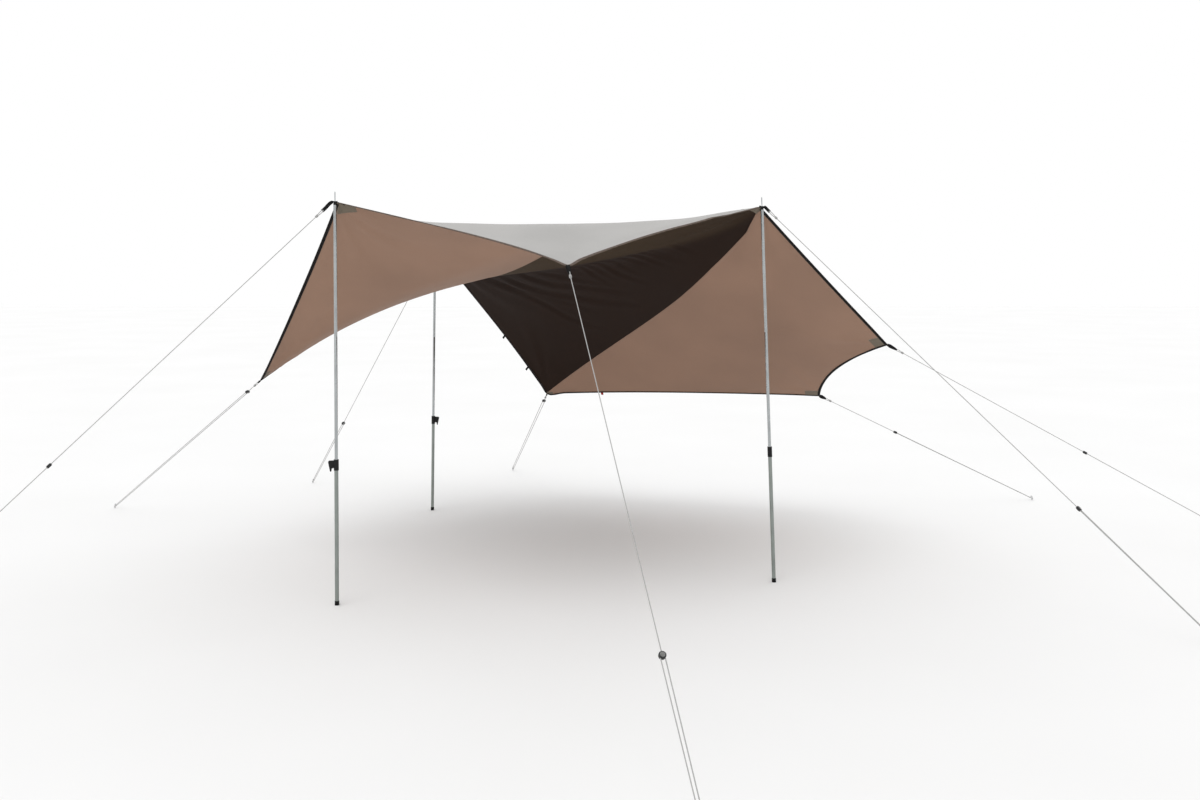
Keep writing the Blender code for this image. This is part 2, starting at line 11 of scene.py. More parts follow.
import bmesh
import bpy
import numpy as np
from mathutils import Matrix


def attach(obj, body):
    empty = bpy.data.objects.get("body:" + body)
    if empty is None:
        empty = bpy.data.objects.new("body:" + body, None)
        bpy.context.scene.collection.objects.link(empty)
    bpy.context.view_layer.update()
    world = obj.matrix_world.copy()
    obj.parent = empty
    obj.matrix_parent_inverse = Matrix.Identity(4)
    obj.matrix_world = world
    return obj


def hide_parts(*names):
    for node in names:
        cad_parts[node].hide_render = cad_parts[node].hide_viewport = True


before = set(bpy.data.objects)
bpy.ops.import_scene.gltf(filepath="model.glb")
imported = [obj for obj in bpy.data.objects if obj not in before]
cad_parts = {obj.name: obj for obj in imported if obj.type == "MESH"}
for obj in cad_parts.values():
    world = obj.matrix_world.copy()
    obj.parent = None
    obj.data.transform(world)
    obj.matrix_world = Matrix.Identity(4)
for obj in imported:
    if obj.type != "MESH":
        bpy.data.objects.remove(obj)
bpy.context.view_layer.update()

# %% [markdown]
# ## Where the camera stands
# The horizon is level and sits above the middle of the picture, so the camera
# looks straight ahead and its frame is shifted down instead of tilted. Upright
# poles then stay upright. It could be tilted down, but the poles would lean
# apart. The eye height is 1.7 m and the lens shows 1160 pixels per unit slope.

# %% Camera
IMAGE_WIDTH = 1200
IMAGE_HEIGHT = 800
FOCAL_PIXELS = 1160
HORIZON_ROW = 264
EYE = (-0.26, -6.41, 1.70)

scene = bpy.context.scene
camera_data = bpy.data.cameras.new("camera")
camera_data.sensor_width = 36.0
camera_data.lens = camera_data.sensor_width * FOCAL_PIXELS / IMAGE_WIDTH
camera_data.shift_y = (HORIZON_ROW - IMAGE_HEIGHT / 2) / IMAGE_WIDTH
camera = bpy.data.objects.new("camera", camera_data)
camera.location = EYE
camera.rotation_euler = (math.radians(90.0), 0.0, 0.0)
scene.collection.objects.link(camera)
scene.camera = camera
print("lens", round(camera_data.lens, 1), "mm, shift", round(camera_data.shift_y, 3))

# %% [markdown]
# ## Points, pegs and feet
# Eight points hold the cloth: three peaks on poles, one front point and four
# low corners. They are repeated here from the solid model, in metres, because
# every hem, strap and line starts from them.

# %% Points of the pitch
POINTS = {
    "left_peak": (-1.583, -0.619, 2.012),
    "right_peak": (0.606, -0.207, 2.008),
    "back_peak": (-1.400, 1.607, 1.797),
    "front_point": (-0.401, -1.310, 1.691),
    "left_corner": (-2.253, 0.390, 1.014),
    "back_corner": (-0.639, 1.890, 0.770),
    "right_corner": (1.503, 0.690, 1.204),
    "far_corner": (1.200, 1.290, 0.824),
}
PEGS = {
    "left_peak": (-3.570, -1.210),
    "right_peak": (2.482, -1.310),
    "back_peak": (-2.488, 2.595),
    "front_point": (0.058, -3.163),
    "left_corner": (-3.639, 1.672),
    "back_corner": (-0.978, 3.163),
    "right_corner": (3.639, 0.316),
    "far_corner": (2.852, 1.946),
}
RUNNER_SHARE = {
    "left_peak": 0.618,
    "right_peak": 0.721,
    "back_peak": 0.719,
    "front_point": 0.738,
    "left_corner": 0.061,
    "back_corner": 0.063,
    "right_corner": 0.514,
    "far_corner": 0.319,
}
FEET = {
    "left": (-1.571, -0.627),
    "right": (0.670, -0.209),
    "back": (-1.418, 1.606),
}
STRAP_TAIL = {
    "left_peak": 0.070,
    "right_peak": 0.045,
    "back_peak": 0.060,
    "front_point": 0.046,
    "left_corner": 0.028,
    "back_corner": 0.026,
    "right_corner": 0.060,
    "far_corner": 0.050,
}
PEAKS = [place for place in POINTS if place.endswith("peak")]


def unit(vector):
    vector = np.asarray(vector, dtype=float)
    return vector / max(np.linalg.norm(vector), 1e-12)


points = {place: np.array(point) for place, point in POINTS.items()}
middle = np.mean(list(points.values()), axis=0)
PEAK_SETBACK = 0.009
held = dict(points)
for place in PEAKS:
    held[place] = points[place] + PEAK_SETBACK * unit(middle - points[place])
print(len(points), "points,", len(PEGS), "pegs")

# %% [markdown]
# ## A few helpers
# Each finished piece is a plain mesh at the origin with its place in its
# vertices. One helper makes the object, gives it its materials, rounds its
# shading but keeps its sharp edges, and says which body it moves with.


def finished_piece(name, mesh, materials, body, replaces=(), sharp=35.0):
    for finish in materials:
        mesh.materials.append(finish)
    mesh.shade_smooth()
    mesh.set_sharp_from_angle(angle=math.radians(sharp))
    piece = bpy.data.objects.new(name, mesh)
    scene.collection.objects.link(piece)
    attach(piece, body)
    if replaces:
        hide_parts(*replaces)
    return piece


def mesh_from(name, vertices, faces):
    mesh = bpy.data.meshes.new(name)
    mesh.from_pydata([tuple(float(x) for x in v) for v in vertices], [], faces)
    return mesh


def turn_outward(mesh):
    shell = bmesh.new()
    shell.from_mesh(mesh)
    bmesh.ops.recalc_face_normals(shell, faces=shell.faces)
    shell.to_mesh(mesh)
    shell.free()
    return mesh


def joined_mesh(name, parts):
    """Several closed shapes, each a list of vertices and one of faces, as one mesh."""
    vertices, faces = [], []
    for part_vertices, part_faces in parts:
        start = len(vertices)
        vertices.extend(part_vertices)
        faces.extend([tuple(start + k for k in face) for face in part_faces])
    return turn_outward(mesh_from(name, vertices, faces))


# %% [markdown]
# A sweep carries an outline along a path. Bindings, seam tapes, webbing and
# cord are all sweeps, and only their outline differs. A curve with a bevel
# could do it too, but the sweep also keeps the width of a tape flat on the
# cloth and writes a map of it: across the outline and along the path.

# %% Helpers for sweeps
def path_directions(path):
    """The way the path runs at each of its points."""
    ahead = np.concatenate([path[1:], path[-1:]])
    behind = np.concatenate([path[:1], path[:-1]])
    along = ahead - behind
    return along / np.maximum(np.linalg.norm(along, axis=1), 1e-12)[:, None]


def walked_lengths(path):
    """How far along the path each of its points is."""
    return np.concatenate([[0.0], np.cumsum(np.linalg.norm(np.diff(path, axis=0), axis=1))])


def sweep_parts(path, across, up, outline):
    """Vertices, faces and map of an outline carried along a path, with closed ends."""
    path = np.asarray(path, dtype=float)
    count, sides = len(path), len(outline)
    vertices, spots = [], []
    walked = walked_lengths(path)
    girth = walked_lengths(np.array([*outline, outline[0]]))
    for k in range(count):
        for a, b in outline:
            vertices.append(path[k] + a * across[k] + b * up[k])
    faces = []
    for k in range(count - 1):
        for j in range(sides):
            i = (j + 1) % sides
            faces.append((k * sides + j, k * sides + i, (k + 1) * sides + i, (k + 1) * sides + j))
            low, high = girth[j], girth[j + 1]
            spots.append(((low, walked[k]), (high, walked[k]), (high, walked[k + 1]), (low, walked[k + 1])))
    faces.append(tuple(range(sides))[::-1])
    faces.append(tuple((count - 1) * sides + j for j in range(sides)))
    spots.append(tuple((a, b) for a, b in outline)[::-1])
    spots.append(tuple((a, b) for a, b in outline))
    return vertices, faces, spots


def swept_mesh(name, sweeps):
    """One mesh of several sweeps, with their map in metres."""
    vertices, faces, spots = [], [], []
    for part_vertices, part_faces, part_spots in sweeps:
        start = len(vertices)
        vertices.extend(part_vertices)
        faces.extend([tuple(start + k for k in face) for face in part_faces])
        spots.extend(part_spots)
    mesh = mesh_from(name, vertices, faces)
    layer = mesh.uv_layers.new(name="along")
    layer.data.foreach_set("uv", np.array([s for face in spots for s in face], dtype=float).ravel())
    return turn_outward(mesh)


EDGE_STEPS = 3


def flat_outline(width, thick):
    """A flat band's outline with rounded edges."""
    radius = thick / 2
    outline = []
    for side in (1, -1):
        for step in range(EDGE_STEPS + 1):
            turn = math.pi * step / EDGE_STEPS - math.pi / 2
            across = width / 2 - radius + radius * math.cos(turn)
            outline.append((side * across, side * radius * math.sin(turn)))
    return outline


def round_outline(radius, sides=10):
    return [(radius * math.cos(2 * math.pi * k / sides), radius * math.sin(2 * math.pi * k / sides))
            for k in range(sides)]


def steady_sides(path, start_side):
    """A side and an up for each point of a path, carried along with the least twist."""
    along = path_directions(path)
    side = unit(start_side - np.dot(start_side, along[0]) * along[0])
    sides = [side]
    for heading in along[1:]:
        side = unit(sides[-1] - np.dot(sides[-1], heading) * heading)
        sides.append(side)
    sides = np.array(sides)
    return sides, np.cross(along, sides)


def smooth_path(stops, steps):
    """A smooth line through the stops, with a number of steps from each to the next."""
    stops = np.asarray(stops, dtype=float)
    return smooth_lines(stops[:, None, :], steps)[:, 0, :]


def smooth_lines(lines, steps):
    """Smooth lines along the first axis of a grid of places."""
    chords = np.diff(lines, axis=0)
    gaps = np.linalg.norm(chords, axis=2)[..., None] + 1e-9
    slopes = chords / gaps
    tangents = np.empty_like(lines)
    share = gaps[1:] / (gaps[1:] + gaps[:-1])
    tangents[1:-1] = slopes[:-1] * share + slopes[1:] * (1 - share)
    tangents[0] = 1.5 * slopes[0] - 0.5 * tangents[1]
    tangents[-1] = 1.5 * slopes[-1] - 0.5 * tangents[-2]
    rows = []
    for k in range(len(chords)):
        for step in range(steps):
            t = step / steps
            rows.append(
                (2 * t ** 3 - 3 * t ** 2 + 1) * lines[k] + (t ** 3 - 2 * t ** 2 + t) * gaps[k] * tangents[k]
                + (3 * t ** 2 - 2 * t ** 3) * lines[k + 1] + (t ** 3 - t ** 2) * gaps[k] * tangents[k + 1])
    rows.append(lines[-1])
    return np.array(rows)


print("helpers ready")

# %% [markdown]
# ## Finishes
# Every finish is made of nodes. A small helper adds a node, sets its values
# and links it in one call, so that each recipe below stays short.

# %% Helper for finishes
def new_finish(name, roughness, metallic=0.0, **shader_values):
    finish = bpy.data.materials.new(name)
    finish.use_nodes = True
    tree = finish.node_tree
    tree.nodes.clear()
    shader = tree.nodes.new("ShaderNodeBsdfPrincipled")
    target = tree.nodes.new("ShaderNodeOutputMaterial")
    tree.links.new(shader.outputs["BSDF"], target.inputs["Surface"])
    shader.inputs["Roughness"].default_value = roughness
    shader.inputs["Metallic"].default_value = metallic
    for socket, value in shader_values.items():
        shader.inputs[socket.replace("_", " ")].default_value = value
    return finish, tree, shader


def add_node(tree, kind, settings=(), **inputs):
    """A node with its inputs set or linked, by name or, as in i0, by number."""
    made = tree.nodes.new(kind)
    for name, value in dict(settings).items():
        setattr(made, name, value)
    for name, value in inputs.items():
        numbered = name[0] == "i" and name[1:].isdigit()
        socket = made.inputs[int(name[1:]) if numbered else name.replace("_", " ")]
        if isinstance(value, bpy.types.NodeSocket):
            tree.links.new(value, socket)
        else:
            socket.default_value = value
    return made


def object_place(tree):
    return add_node(tree, "ShaderNodeTexCoord").outputs["Object"]


def noise(tree, place, scale, detail, rough=0.5):
    return add_node(
        tree, "ShaderNodeTexNoise", Vector=place, Scale=scale, Detail=detail, Roughness=rough).outputs["Fac"]


def maths(tree, operation, first, second):
    return add_node(tree, "ShaderNodeMath", {"operation": operation}, i0=first, i1=second).outputs["Value"]


def mixed(tree, first, share, second):
    """One share of the first value and the rest of the second."""
    part, rest = maths(tree, "MULTIPLY", first, share), maths(tree, "MULTIPLY", second, 1 - share)
    return maths(tree, "ADD", part, rest)


WAVE_RADIANS = 20        # what the wave node turns in one unit of length at scale 1


def wave(tree, spot, direction, pitch, **inputs):
    """Bands along one direction of the map, one in every pitch."""
    scale = 2 * math.pi / pitch / WAVE_RADIANS
    return add_node(tree, "ShaderNodeTexWave", {"bands_direction": direction},
                    Vector=spot, Scale=scale, **inputs).outputs["Fac"]


def tone_ramp(tree, factor, stops):
    """A colour for each value of the factor, from at least two stops."""
    ramp = add_node(tree, "ShaderNodeValToRGB", Fac=factor)
    elements = ramp.color_ramp.elements
    elements[0].position, elements[0].color = stops[0][0], (*stops[0][1], 1.0)
    elements[1].position, elements[1].color = stops[-1][0], (*stops[-1][1], 1.0)
    for position, colour in stops[1:-1]:
        elements.new(position).color = (*colour, 1.0)
    return ramp.outputs["Color"]


def bump(tree, shader, height, strength, distance):
    relief = add_node(tree, "ShaderNodeBump", Height=height, Strength=strength, Distance=distance)
    tree.links.new(relief.outputs["Normal"], shader.inputs["Normal"])


def shades(tree, factor, colour, *stops):
    """A tone ramp of one colour: each stop is a position and a brightness."""
    return tone_ramp(tree, factor, [
        (position, tuple(brightness * c for c in colour)) for position, brightness in stops])


def vary_roughness(tree, shader, factor, roughness, spread):
    """Roughness from one spread below to one spread above, by the factor."""
    varied = maths(tree, "MULTIPLY", factor, 2 * spread)
    tree.links.new(maths(tree, "ADD", varied, roughness - spread), shader.inputs["Roughness"])


# %% [markdown]
# The cloth is a light coated weave: pale grey outside and brown under the two
# outer sections. Under the middle section the underside is painted nearly
# black, and that darkness is painted shade. A weave could be drawn as an
# image, but here two crossed waves on the cloth's own map do it, with a
# stronger thread every few millimetres as in a tear-proof cloth. Slow noise
# shifts the tone a little, because no pitched cloth is evenly lit or clean.
# In front of the fold from the back peak to the right peak daylight comes
# through the shaded cloth, so it is painted olive there, by an attribute of
# the canopy.

# %% Cloth finishes
THREAD = 0.0012
STRONG_THREAD = 0.0075


def cloth_finish(name, colour, roughness, relief, sheen=0.06, specular=0.22, lit=None):
    finish, tree, shader = new_finish(
        name, roughness, Sheen_Weight=sheen, Sheen_Roughness=0.5, Specular_IOR_Level=specular)
    spot = add_node(tree, "ShaderNodeUVMap", {"uv_map": "cloth"}).outputs["UV"]
    place = object_place(tree)
    threads = []
    for direction in ("X", "Y"):
        fine = wave(tree, spot, direction, THREAD, Distortion=0.6, Detail=1.0)
        strong = wave(tree, spot, direction, STRONG_THREAD)
        threads.append(maths(tree, "ADD", fine, maths(tree, "POWER", strong, 12.0)))
    weave = maths(tree, "MAXIMUM", threads[0], threads[1])
    clouds = noise(tree, place, 1.8, 3.0)
    grain = noise(tree, place, 240.0, 2.0)
    tone = shades(tree, mixed(tree, clouds, 0.75, grain), colour, (0.30, 0.88), (0.50, 1.0), (0.70, 1.10))
    if lit:
        share = add_node(tree, "ShaderNodeAttribute", {"attribute_name": "lit"}).outputs["Fac"]
        blend = add_node(tree, "ShaderNodeMix", {"data_type": "RGBA"}, i0=share, i6=tone, i7=(*lit, 1.0))
        tone = blend.outputs[2]
    tree.links.new(tone, shader.inputs["Base Color"])
    vary_roughness(tree, shader, clouds, roughness, 0.09)
    bump(tree, shader, weave, relief, 0.00025)
    return finish


cloth_outside = cloth_finish("cloth_outside", (0.385, 0.378, 0.368), 0.62, 0.30)
cloth_brown = cloth_finish("cloth_brown", (0.302, 0.186, 0.130), 0.70, 0.30, 0.02)
# The middle section's underside: painted shade, nearly black, with painted daylight turning it olive in
# front of the fold.
cloth_dark = cloth_finish(
    "cloth_dark", (0.0185, 0.0088, 0.0052), 0.72, 0.35, 0.0, 0.12, lit=(0.044, 0.026, 0.0115))
print("cloth finishes:", cloth_outside.name, cloth_brown.name, cloth_dark.name)

# %% [markdown]
# Webbing and binding are ribbed tape. Their ribs run across the band, so they
# follow the map's long way. The cord is a round braid: two waves that wind
# round it in opposite directions and cross in small diamonds.

# %% Tape and cord finishes
def tape_finish(name, colour, rib):
    finish, tree, shader = new_finish(name, 0.82, Specular_IOR_Level=0.15)
    spot = add_node(tree, "ShaderNodeUVMap", {"uv_map": "along"}).outputs["UV"]
    ribs = wave(tree, spot, "Y", rib, Distortion=0.4)
    edge = wave(tree, spot, "X", 2.4 * rib)
    height = maths(tree, "ADD", ribs, maths(tree, "MULTIPLY", edge, 0.5))
    dust = noise(tree, object_place(tree), 60.0, 3.0)
    tone = shades(tree, mixed(tree, ribs, 0.4, dust), colour, (0.25, 0.6), (0.55, 1.0), (0.85, 1.9))
    tree.links.new(tone, shader.inputs["Base Color"])
    bump(tree, shader, height, 0.6, 0.0004)
    return finish


def braid_finish(name, colour, girth, pitch):
    finish, tree, shader = new_finish(name, 0.72, Sheen_Weight=0.25, Sheen_Roughness=0.5)
    spot = add_node(tree, "ShaderNodeUVMap", {"uv_map": "along"}).outputs["UV"]
    strands = []
    for hand in (1.0, -1.0):
        turned_spot = add_node(tree, "ShaderNodeVectorMath", {"operation": "DOT_PRODUCT"},
                               i0=spot, i1=(hand * 3.0 / girth, 1.0 / pitch, 0.0)).outputs["Value"]
        turned = maths(tree, "MULTIPLY", turned_spot, 2 * math.pi)
        strands.append(add_node(tree, "ShaderNodeMath", {"operation": "SINE"}, i0=turned).outputs["Value"])
    braid = maths(tree, "MAXIMUM", strands[0], strands[1])
    fuzz = noise(tree, object_place(tree), 900.0, 2.0)
    tone = shades(tree, mixed(tree, braid, 0.25, fuzz), colour, (0.25, 0.62), (0.55, 1.0), (0.85, 1.12))
    tree.links.new(tone, shader.inputs["Base Color"])
    bump(tree, shader, braid, 0.7, 0.0005)
    return finish


CORD_RADIUS = 0.0020
black_binding = tape_finish("black_binding", (0.0085, 0.0070, 0.0062), 0.0014)
dark_binding = tape_finish("dark_binding", (0.016, 0.012, 0.010), 0.0014)
front_binding = tape_finish("front_binding", (0.115, 0.088, 0.073), 0.0014)
black_webbing = tape_finish("black_webbing", (0.0070, 0.0070, 0.0072), 0.0018)
red_tape = tape_finish("red_tape", (0.330, 0.022, 0.018), 0.0014)
grey_thread = tape_finish("grey_thread", (0.230, 0.222, 0.212), 0.0010)
guy_cord = braid_finish("guy_cord", (0.400, 0.398, 0.392), 2 * math.pi * CORD_RADIUS, 0.006)
patch_cloth = cloth_finish("patch_cloth", (0.160, 0.132, 0.098), 0.74, 0.45)
print("tape and cord finishes ready")

# %% [markdown]
# The poles are drawn aluminium tube: satin, with fine lines along the tube and
# soft smudges where hands slide them. The lines are noise squeezed across the
# tube, which costs less than real brushing and looks the same from a step
# away. Pegs are bright wire, clamps and runners moulded plastic, feet rubber.

# %% Metal and plastic finishes
def metal_finish(name, colour, roughness, streak):
    finish, tree, shader = new_finish(name, roughness, metallic=1.0)
    place = object_place(tree)
    squeezed = add_node(tree, "ShaderNodeMapping", Vector=place, Scale=streak).outputs["Vector"]
    lines = noise(tree, squeezed, 1.0, 6.0, 0.6)
    smudges = noise(tree, place, 14.0, 4.0)
    tone = shades(tree, mixed(tree, lines, 0.5, smudges), colour, (0.32, 0.80), (0.50, 1.0), (0.68, 1.12))
    tree.links.new(tone, shader.inputs["Base Color"])
    vary_roughness(tree, shader, smudges, roughness, 0.10)
    bump(tree, shader, lines, 0.12, 0.0002)
    return finish


def moulded_finish(name, colour, roughness, grain_scale=900.0, strength=0.25):
    finish, tree, shader = new_finish(name, roughness, Specular_IOR_Level=0.22)
    place = object_place(tree)
    grain = noise(tree, place, grain_scale, 3.0)
    wear = noise(tree, place, 70.0, 5.0, 0.65)
    tone = shades(tree, wear, colour, (0.35, 0.75), (0.55, 1.0), (0.75, 1.7))
    tree.links.new(tone, shader.inputs["Base Color"])
    vary_roughness(tree, shader, wear, roughness, 0.12)
    bump(tree, shader, grain, strength, 0.0002)
    return finish


lower_tube = metal_finish("lower_tube", (0.270, 0.296, 0.280), 0.38, (900.0, 900.0, 6.0))
upper_tube = metal_finish("upper_tube", (0.400, 0.420, 0.425), 0.26, (900.0, 900.0, 6.0))
bright_steel = metal_finish("bright_steel", (0.520, 0.525, 0.530), 0.28, (700.0, 700.0, 20.0))
black_plastic = moulded_finish("black_plastic", (0.0060, 0.0062, 0.0068), 0.42)
runner_plastic = moulded_finish("runner_plastic", (0.030, 0.031, 0.032), 0.45)
runner_face = moulded_finish("runner_face", (0.200, 0.200, 0.195), 0.50)
black_rubber = moulded_finish("black_rubber", (0.0055, 0.0055, 0.0056), 0.80, 400.0, 0.5)
print("metal, plastic and rubber finishes ready")

# %% [markdown]
# ## The cloth finds its shape
# A pitched tarp has no frame: its shape is the balance of pulls in the cloth.
# A net of strands between the eight points gives it. Each strand pulls with a
# force per length, hems and folds pull harder, and one set of linear equations
# then says where every knot rests. It could be sculpted or simulated, but the
# balance is exact, repeats every time and bows each hem as a real one does.
# Last, small swells and dips along the roofline and a bow of the right seam
# bring the net to the lines of the photographed tarp.

# %% The cloth's net
FINER = 2
COLUMNS = 8 * FINER
ROWS = 16 * FINER
FRONT_ROWS = 6 * FINER
FIELD, CROSS = 1.0, 0.6
MIDDLE_SEAM, RIGHT_SEAM = 2.3, 1.0
RIDGE = (0.5, 28.0)
BACK_RIDGE, VALLEY = 1.7, 1.4
FRONT_HEM = (95.0, 22.5)
FRONT_ROW = 14.0
FRONT_CROSS = (12.0, 2.35)
SIDE_HEM = 120.0
BACK_HEM = (100.0, 30.0, 13.5)
LEFT_END, RIGHT_END = 400.0, 50.0
NODE_WEIGHT = 0.0026
ROOF_SWELLS = ((-1.17, 0.165, -0.028), (-0.45, 0.175, 0.0164), (0.205, 0.130, -0.0113))
SWELL_SHARE = 0.35
RIGHT_SEAM_BOW = ((0.0, 0.10, 0.25, 0.45, 0.70, 1.0), (0.0, 0.038, 0.021, 0.020, 0.010, 0.0))
BOW_SHARE = 0.75

main_ids = np.arange((3 * COLUMNS + 1) * (ROWS + 1)).reshape(ROWS + 1, 3 * COLUMNS + 1)
front_ids = np.zeros((FRONT_ROWS + 1, 2 * COLUMNS + 1), dtype=int)
front_ids[0] = main_ids[0, :2 * COLUMNS + 1]
front_ids[:, 0] = main_ids[0, 0]
front_ids[:, -1] = main_ids[0, 2 * COLUMNS]
inner = np.arange(FRONT_ROWS * (2 * COLUMNS - 1)).reshape(FRONT_ROWS, -1)
front_ids[1:, 1:-1] = main_ids.size + inner
knots = main_ids.size + inner.size
balance = np.zeros((knots, knots))


def tie(line, pull):
    for a, b in zip(line[:-1], line[1:]):
        if a != b:
            balance[a, a] += pull
            balance[b, b] += pull
            balance[a, b] -= pull
            balance[b, a] -= pull


def tie_net():
    n, m = COLUMNS, ROWS
    for part in range(2):
        span = slice(part * n, (part + 1) * n + 1)
        tie(main_ids[0, span], RIDGE[part] * FINER)
        tie(front_ids[-1, span], FRONT_HEM[part] * FINER)
    tie(main_ids[0, 2 * n:], SIDE_HEM * FINER)
    for part, pull in enumerate(BACK_HEM):
        tie(main_ids[m, part * n:(part + 1) * n + 1], pull * FINER)
    tie(main_ids[:, 0], LEFT_END * FINER)
    tie(main_ids[:, -1], RIGHT_END * FINER)
    for row in range(1, m):
        tie(main_ids[row], FIELD)
    for column in range(1, 3 * n):
        extra = {n: MIDDLE_SEAM - CROSS, 2 * n: RIGHT_SEAM - CROSS}.get(column, 0.0)
        tie(main_ids[:, column], CROSS + extra * FINER)
    for row in range(1, FRONT_ROWS):
        tie(front_ids[row], FRONT_ROW)
    for column in range(1, 2 * n):
        if column != n:
            tie(front_ids[:, column], FRONT_CROSS[column > n])
    tie(front_ids[:, n], CROSS)


def tie_folds():
    """The ridge from the back peak and the valley from the left corner, each spread a little."""
    n, m = COLUMNS, ROWS
    for shift in range(-FINER, FINER + 1):
        share = 1.0 if abs(shift) == FINER else 2.0
        rows = [min(max(m - 2 * k + shift, 1), m - 1) for k in range(1, n)]
        valley = [main_ids[row, k + 1] for k, row in enumerate(rows)]
        ridge = [main_ids[row, n + k + 1] for k, row in enumerate(rows)]
        tie([main_ids[m, 0], *valley, *front_ids[:, n]], VALLEY * share)
        tie([main_ids[m, n], *ridge, main_ids[0, 2 * n]], BACK_RIDGE * share)


tie_net()
tie_folds()
fixed = {
    main_ids[0, 0]: held["left_peak"],
    main_ids[0, 2 * COLUMNS]: held["right_peak"],
    main_ids[0, 3 * COLUMNS]: held["right_corner"],
    main_ids[ROWS, 0]: held["left_corner"],
    main_ids[ROWS, COLUMNS]: held["back_peak"],
    main_ids[ROWS, 2 * COLUMNS]: held["back_corner"],
    main_ids[ROWS, 3 * COLUMNS]: held["far_corner"],
    front_ids[-1, COLUMNS]: held["front_point"],
}
pinned = np.array(sorted(fixed))
places = np.zeros((knots, 3))
places[pinned] = [fixed[k] for k in pinned]
free = np.setdiff1d(np.arange(knots), pinned)
load = -balance[np.ix_(free, pinned)] @ places[pinned]
load[:, 2] -= NODE_WEIGHT / FINER ** 2
places[free] = np.linalg.solve(balance[np.ix_(free, free)], load)

moved = np.zeros(knots)
for row in range(ROWS):
    moved[main_ids[row, 1:2 * COLUMNS]] = max(1 - row / (SWELL_SHARE * ROWS), 0) ** 2
for row in range(1, FRONT_ROWS):
    moved[front_ids[row, 1:-1]] = 1 - (row / FRONT_ROWS) ** 2
for centre, half_width, height in ROOF_SWELLS:
    places[:, 2] += moved * height * np.exp(-((places[:, 0] - centre) / half_width) ** 2 / 2)
for row in range(1, ROWS):
    for column in range(COLUMNS + 1, 3 * COLUMNS):
        fade = max(1 - abs(column - 2 * COLUMNS) / (BOW_SHARE * COLUMNS), 0)
        bow = np.interp(row / ROWS, *RIGHT_SEAM_BOW)
        places[main_ids[row, column], 0] += bow * fade ** 2 * (3 - 2 * fade)
print("net of", knots, "knots, lowest", round(float(places[:, 2].min()), 3), "m")

# %% [markdown]
# The net is coarse, so smooth lines are drawn through its knots, first from
# front to back and then from side to side. At the right peak the cloth breaks
# round the pole, so the lines are split there and grow together again lower
# down. The result is one welded sheet, with no gap at its seams.

# %% The sheet's fine grid
STEPS = 4
BREAK_ROWS = 5 * FINER * STEPS


def fine_sheet():
    n, front, main = COLUMNS, places[front_ids][:0:-1], places[main_ids]
    roof = np.concatenate([front, main[:, :2 * n + 1]])
    long_roof = smooth_lines(roof, STEPS)
    long_main = smooth_lines(main, STEPS)
    start = FRONT_ROWS * STEPS
    for column in (0, 2 * n):
        long_roof[:start, column] = main[0, column]
        long_roof[start:, column] = long_main[:, column]
    long_main[:, :2 * n] = long_roof[start:, :2 * n]
    fine_front = smooth_lines(np.swapaxes(long_roof[:start], 0, 1), STEPS).swapaxes(0, 1)
    across = np.swapaxes(long_main, 0, 1)
    whole = smooth_lines(across, STEPS).swapaxes(0, 1)
    split = np.concatenate([
        smooth_lines(across[:2 * n + 1], STEPS), smooth_lines(across[2 * n:], STEPS)[1:]]).swapaxes(0, 1)
    share = np.clip(1 - np.arange(len(whole)) / BREAK_ROWS, 0, 1) ** 2
    return fine_front, whole + share[:, None, None] * (split - whole)


front_grid, main_grid = fine_sheet()
print("front part", front_grid.shape[:2], "main part", main_grid.shape[:2])

# %% Number the sheet's points
LEFT, MIDDLE, RIGHT = 0, 1, 2
wide, tall = main_grid.shape[1], main_grid.shape[0]
peak_column, seam_column = 2 * COLUMNS * STEPS, COLUMNS * STEPS
main_number = np.arange(tall * wide).reshape(tall, wide)
front_number = np.zeros(front_grid.shape[:2], dtype=int)
loose = np.arange(front_number[:, 1:-1].size).reshape(front_number[:, 1:-1].shape)
front_number[:, 1:-1] = main_number.size + loose
front_number[:, 0] = main_number[0, 0]
front_number[:, -1] = main_number[0, peak_column]
sheet_points = np.zeros((main_number.size + loose.size, 3))
sheet_points[main_number] = main_grid
sheet_points[front_number[:, 1:-1]] = front_grid[:, 1:-1]
roof_number = np.concatenate([front_number, main_number[:, :peak_column + 1]])


def grid_faces(numbers):
    """Triangles of a numbered grid, without those that have no area.

    Both sides of the cloth share them, so that its thickness never crosses itself.
    """
    faces, columns = [], []
    for r in range(numbers.shape[0] - 1):
        for c in range(numbers.shape[1] - 1):
            a, b, d, e = (int(numbers[r + i, c + j]) for i, j in ((0, 0), (0, 1), (1, 1), (1, 0)))
            for ring in ((a, b, d), (a, d, e)):
                if len(set(ring)) == 3:
                    faces.append(ring)
                    columns.append(c)
    return faces, columns


roof_faces, roof_columns = grid_faces(roof_number)
right_faces, _ = grid_faces(main_number[:, peak_column:])
sheet_faces = roof_faces + right_faces
section = [LEFT if c < seam_column else MIDDLE for c in roof_columns] + [RIGHT] * len(right_faces)
print(len(sheet_points), "points,", len(sheet_faces), "faces")


def point_normals(spots):
    """The sheet's normal at each of its points, larger faces counting for more."""
    triangles = np.array(sheet_faces)
    a, b, c = (spots[triangles[:, k]] for k in range(3))
    facing = np.cross(b - a, c - a)
    normals = np.zeros_like(spots)
    for k in range(3):
        np.add.at(normals, triangles[:, k], facing)
    return normals / np.maximum(np.linalg.norm(normals, axis=1), 1e-12)[:, None]


# %% [markdown]
# ## Creases
# Cloth that is pulled at a point wrinkles in rays from it, and slack cloth
# between two pulls folds in long creases. The rays are sums of small waves, a
# crease is one narrow fold with a low lip beside it, and both move the sheet
# along its normal. Most creases lie behind the fold from the back peak to the
# right peak, two run along the left end and one follows the right front hem.
# A cloth simulation would find similar folds but takes minutes and seldom
# keeps the pitch, so they are placed by rule.

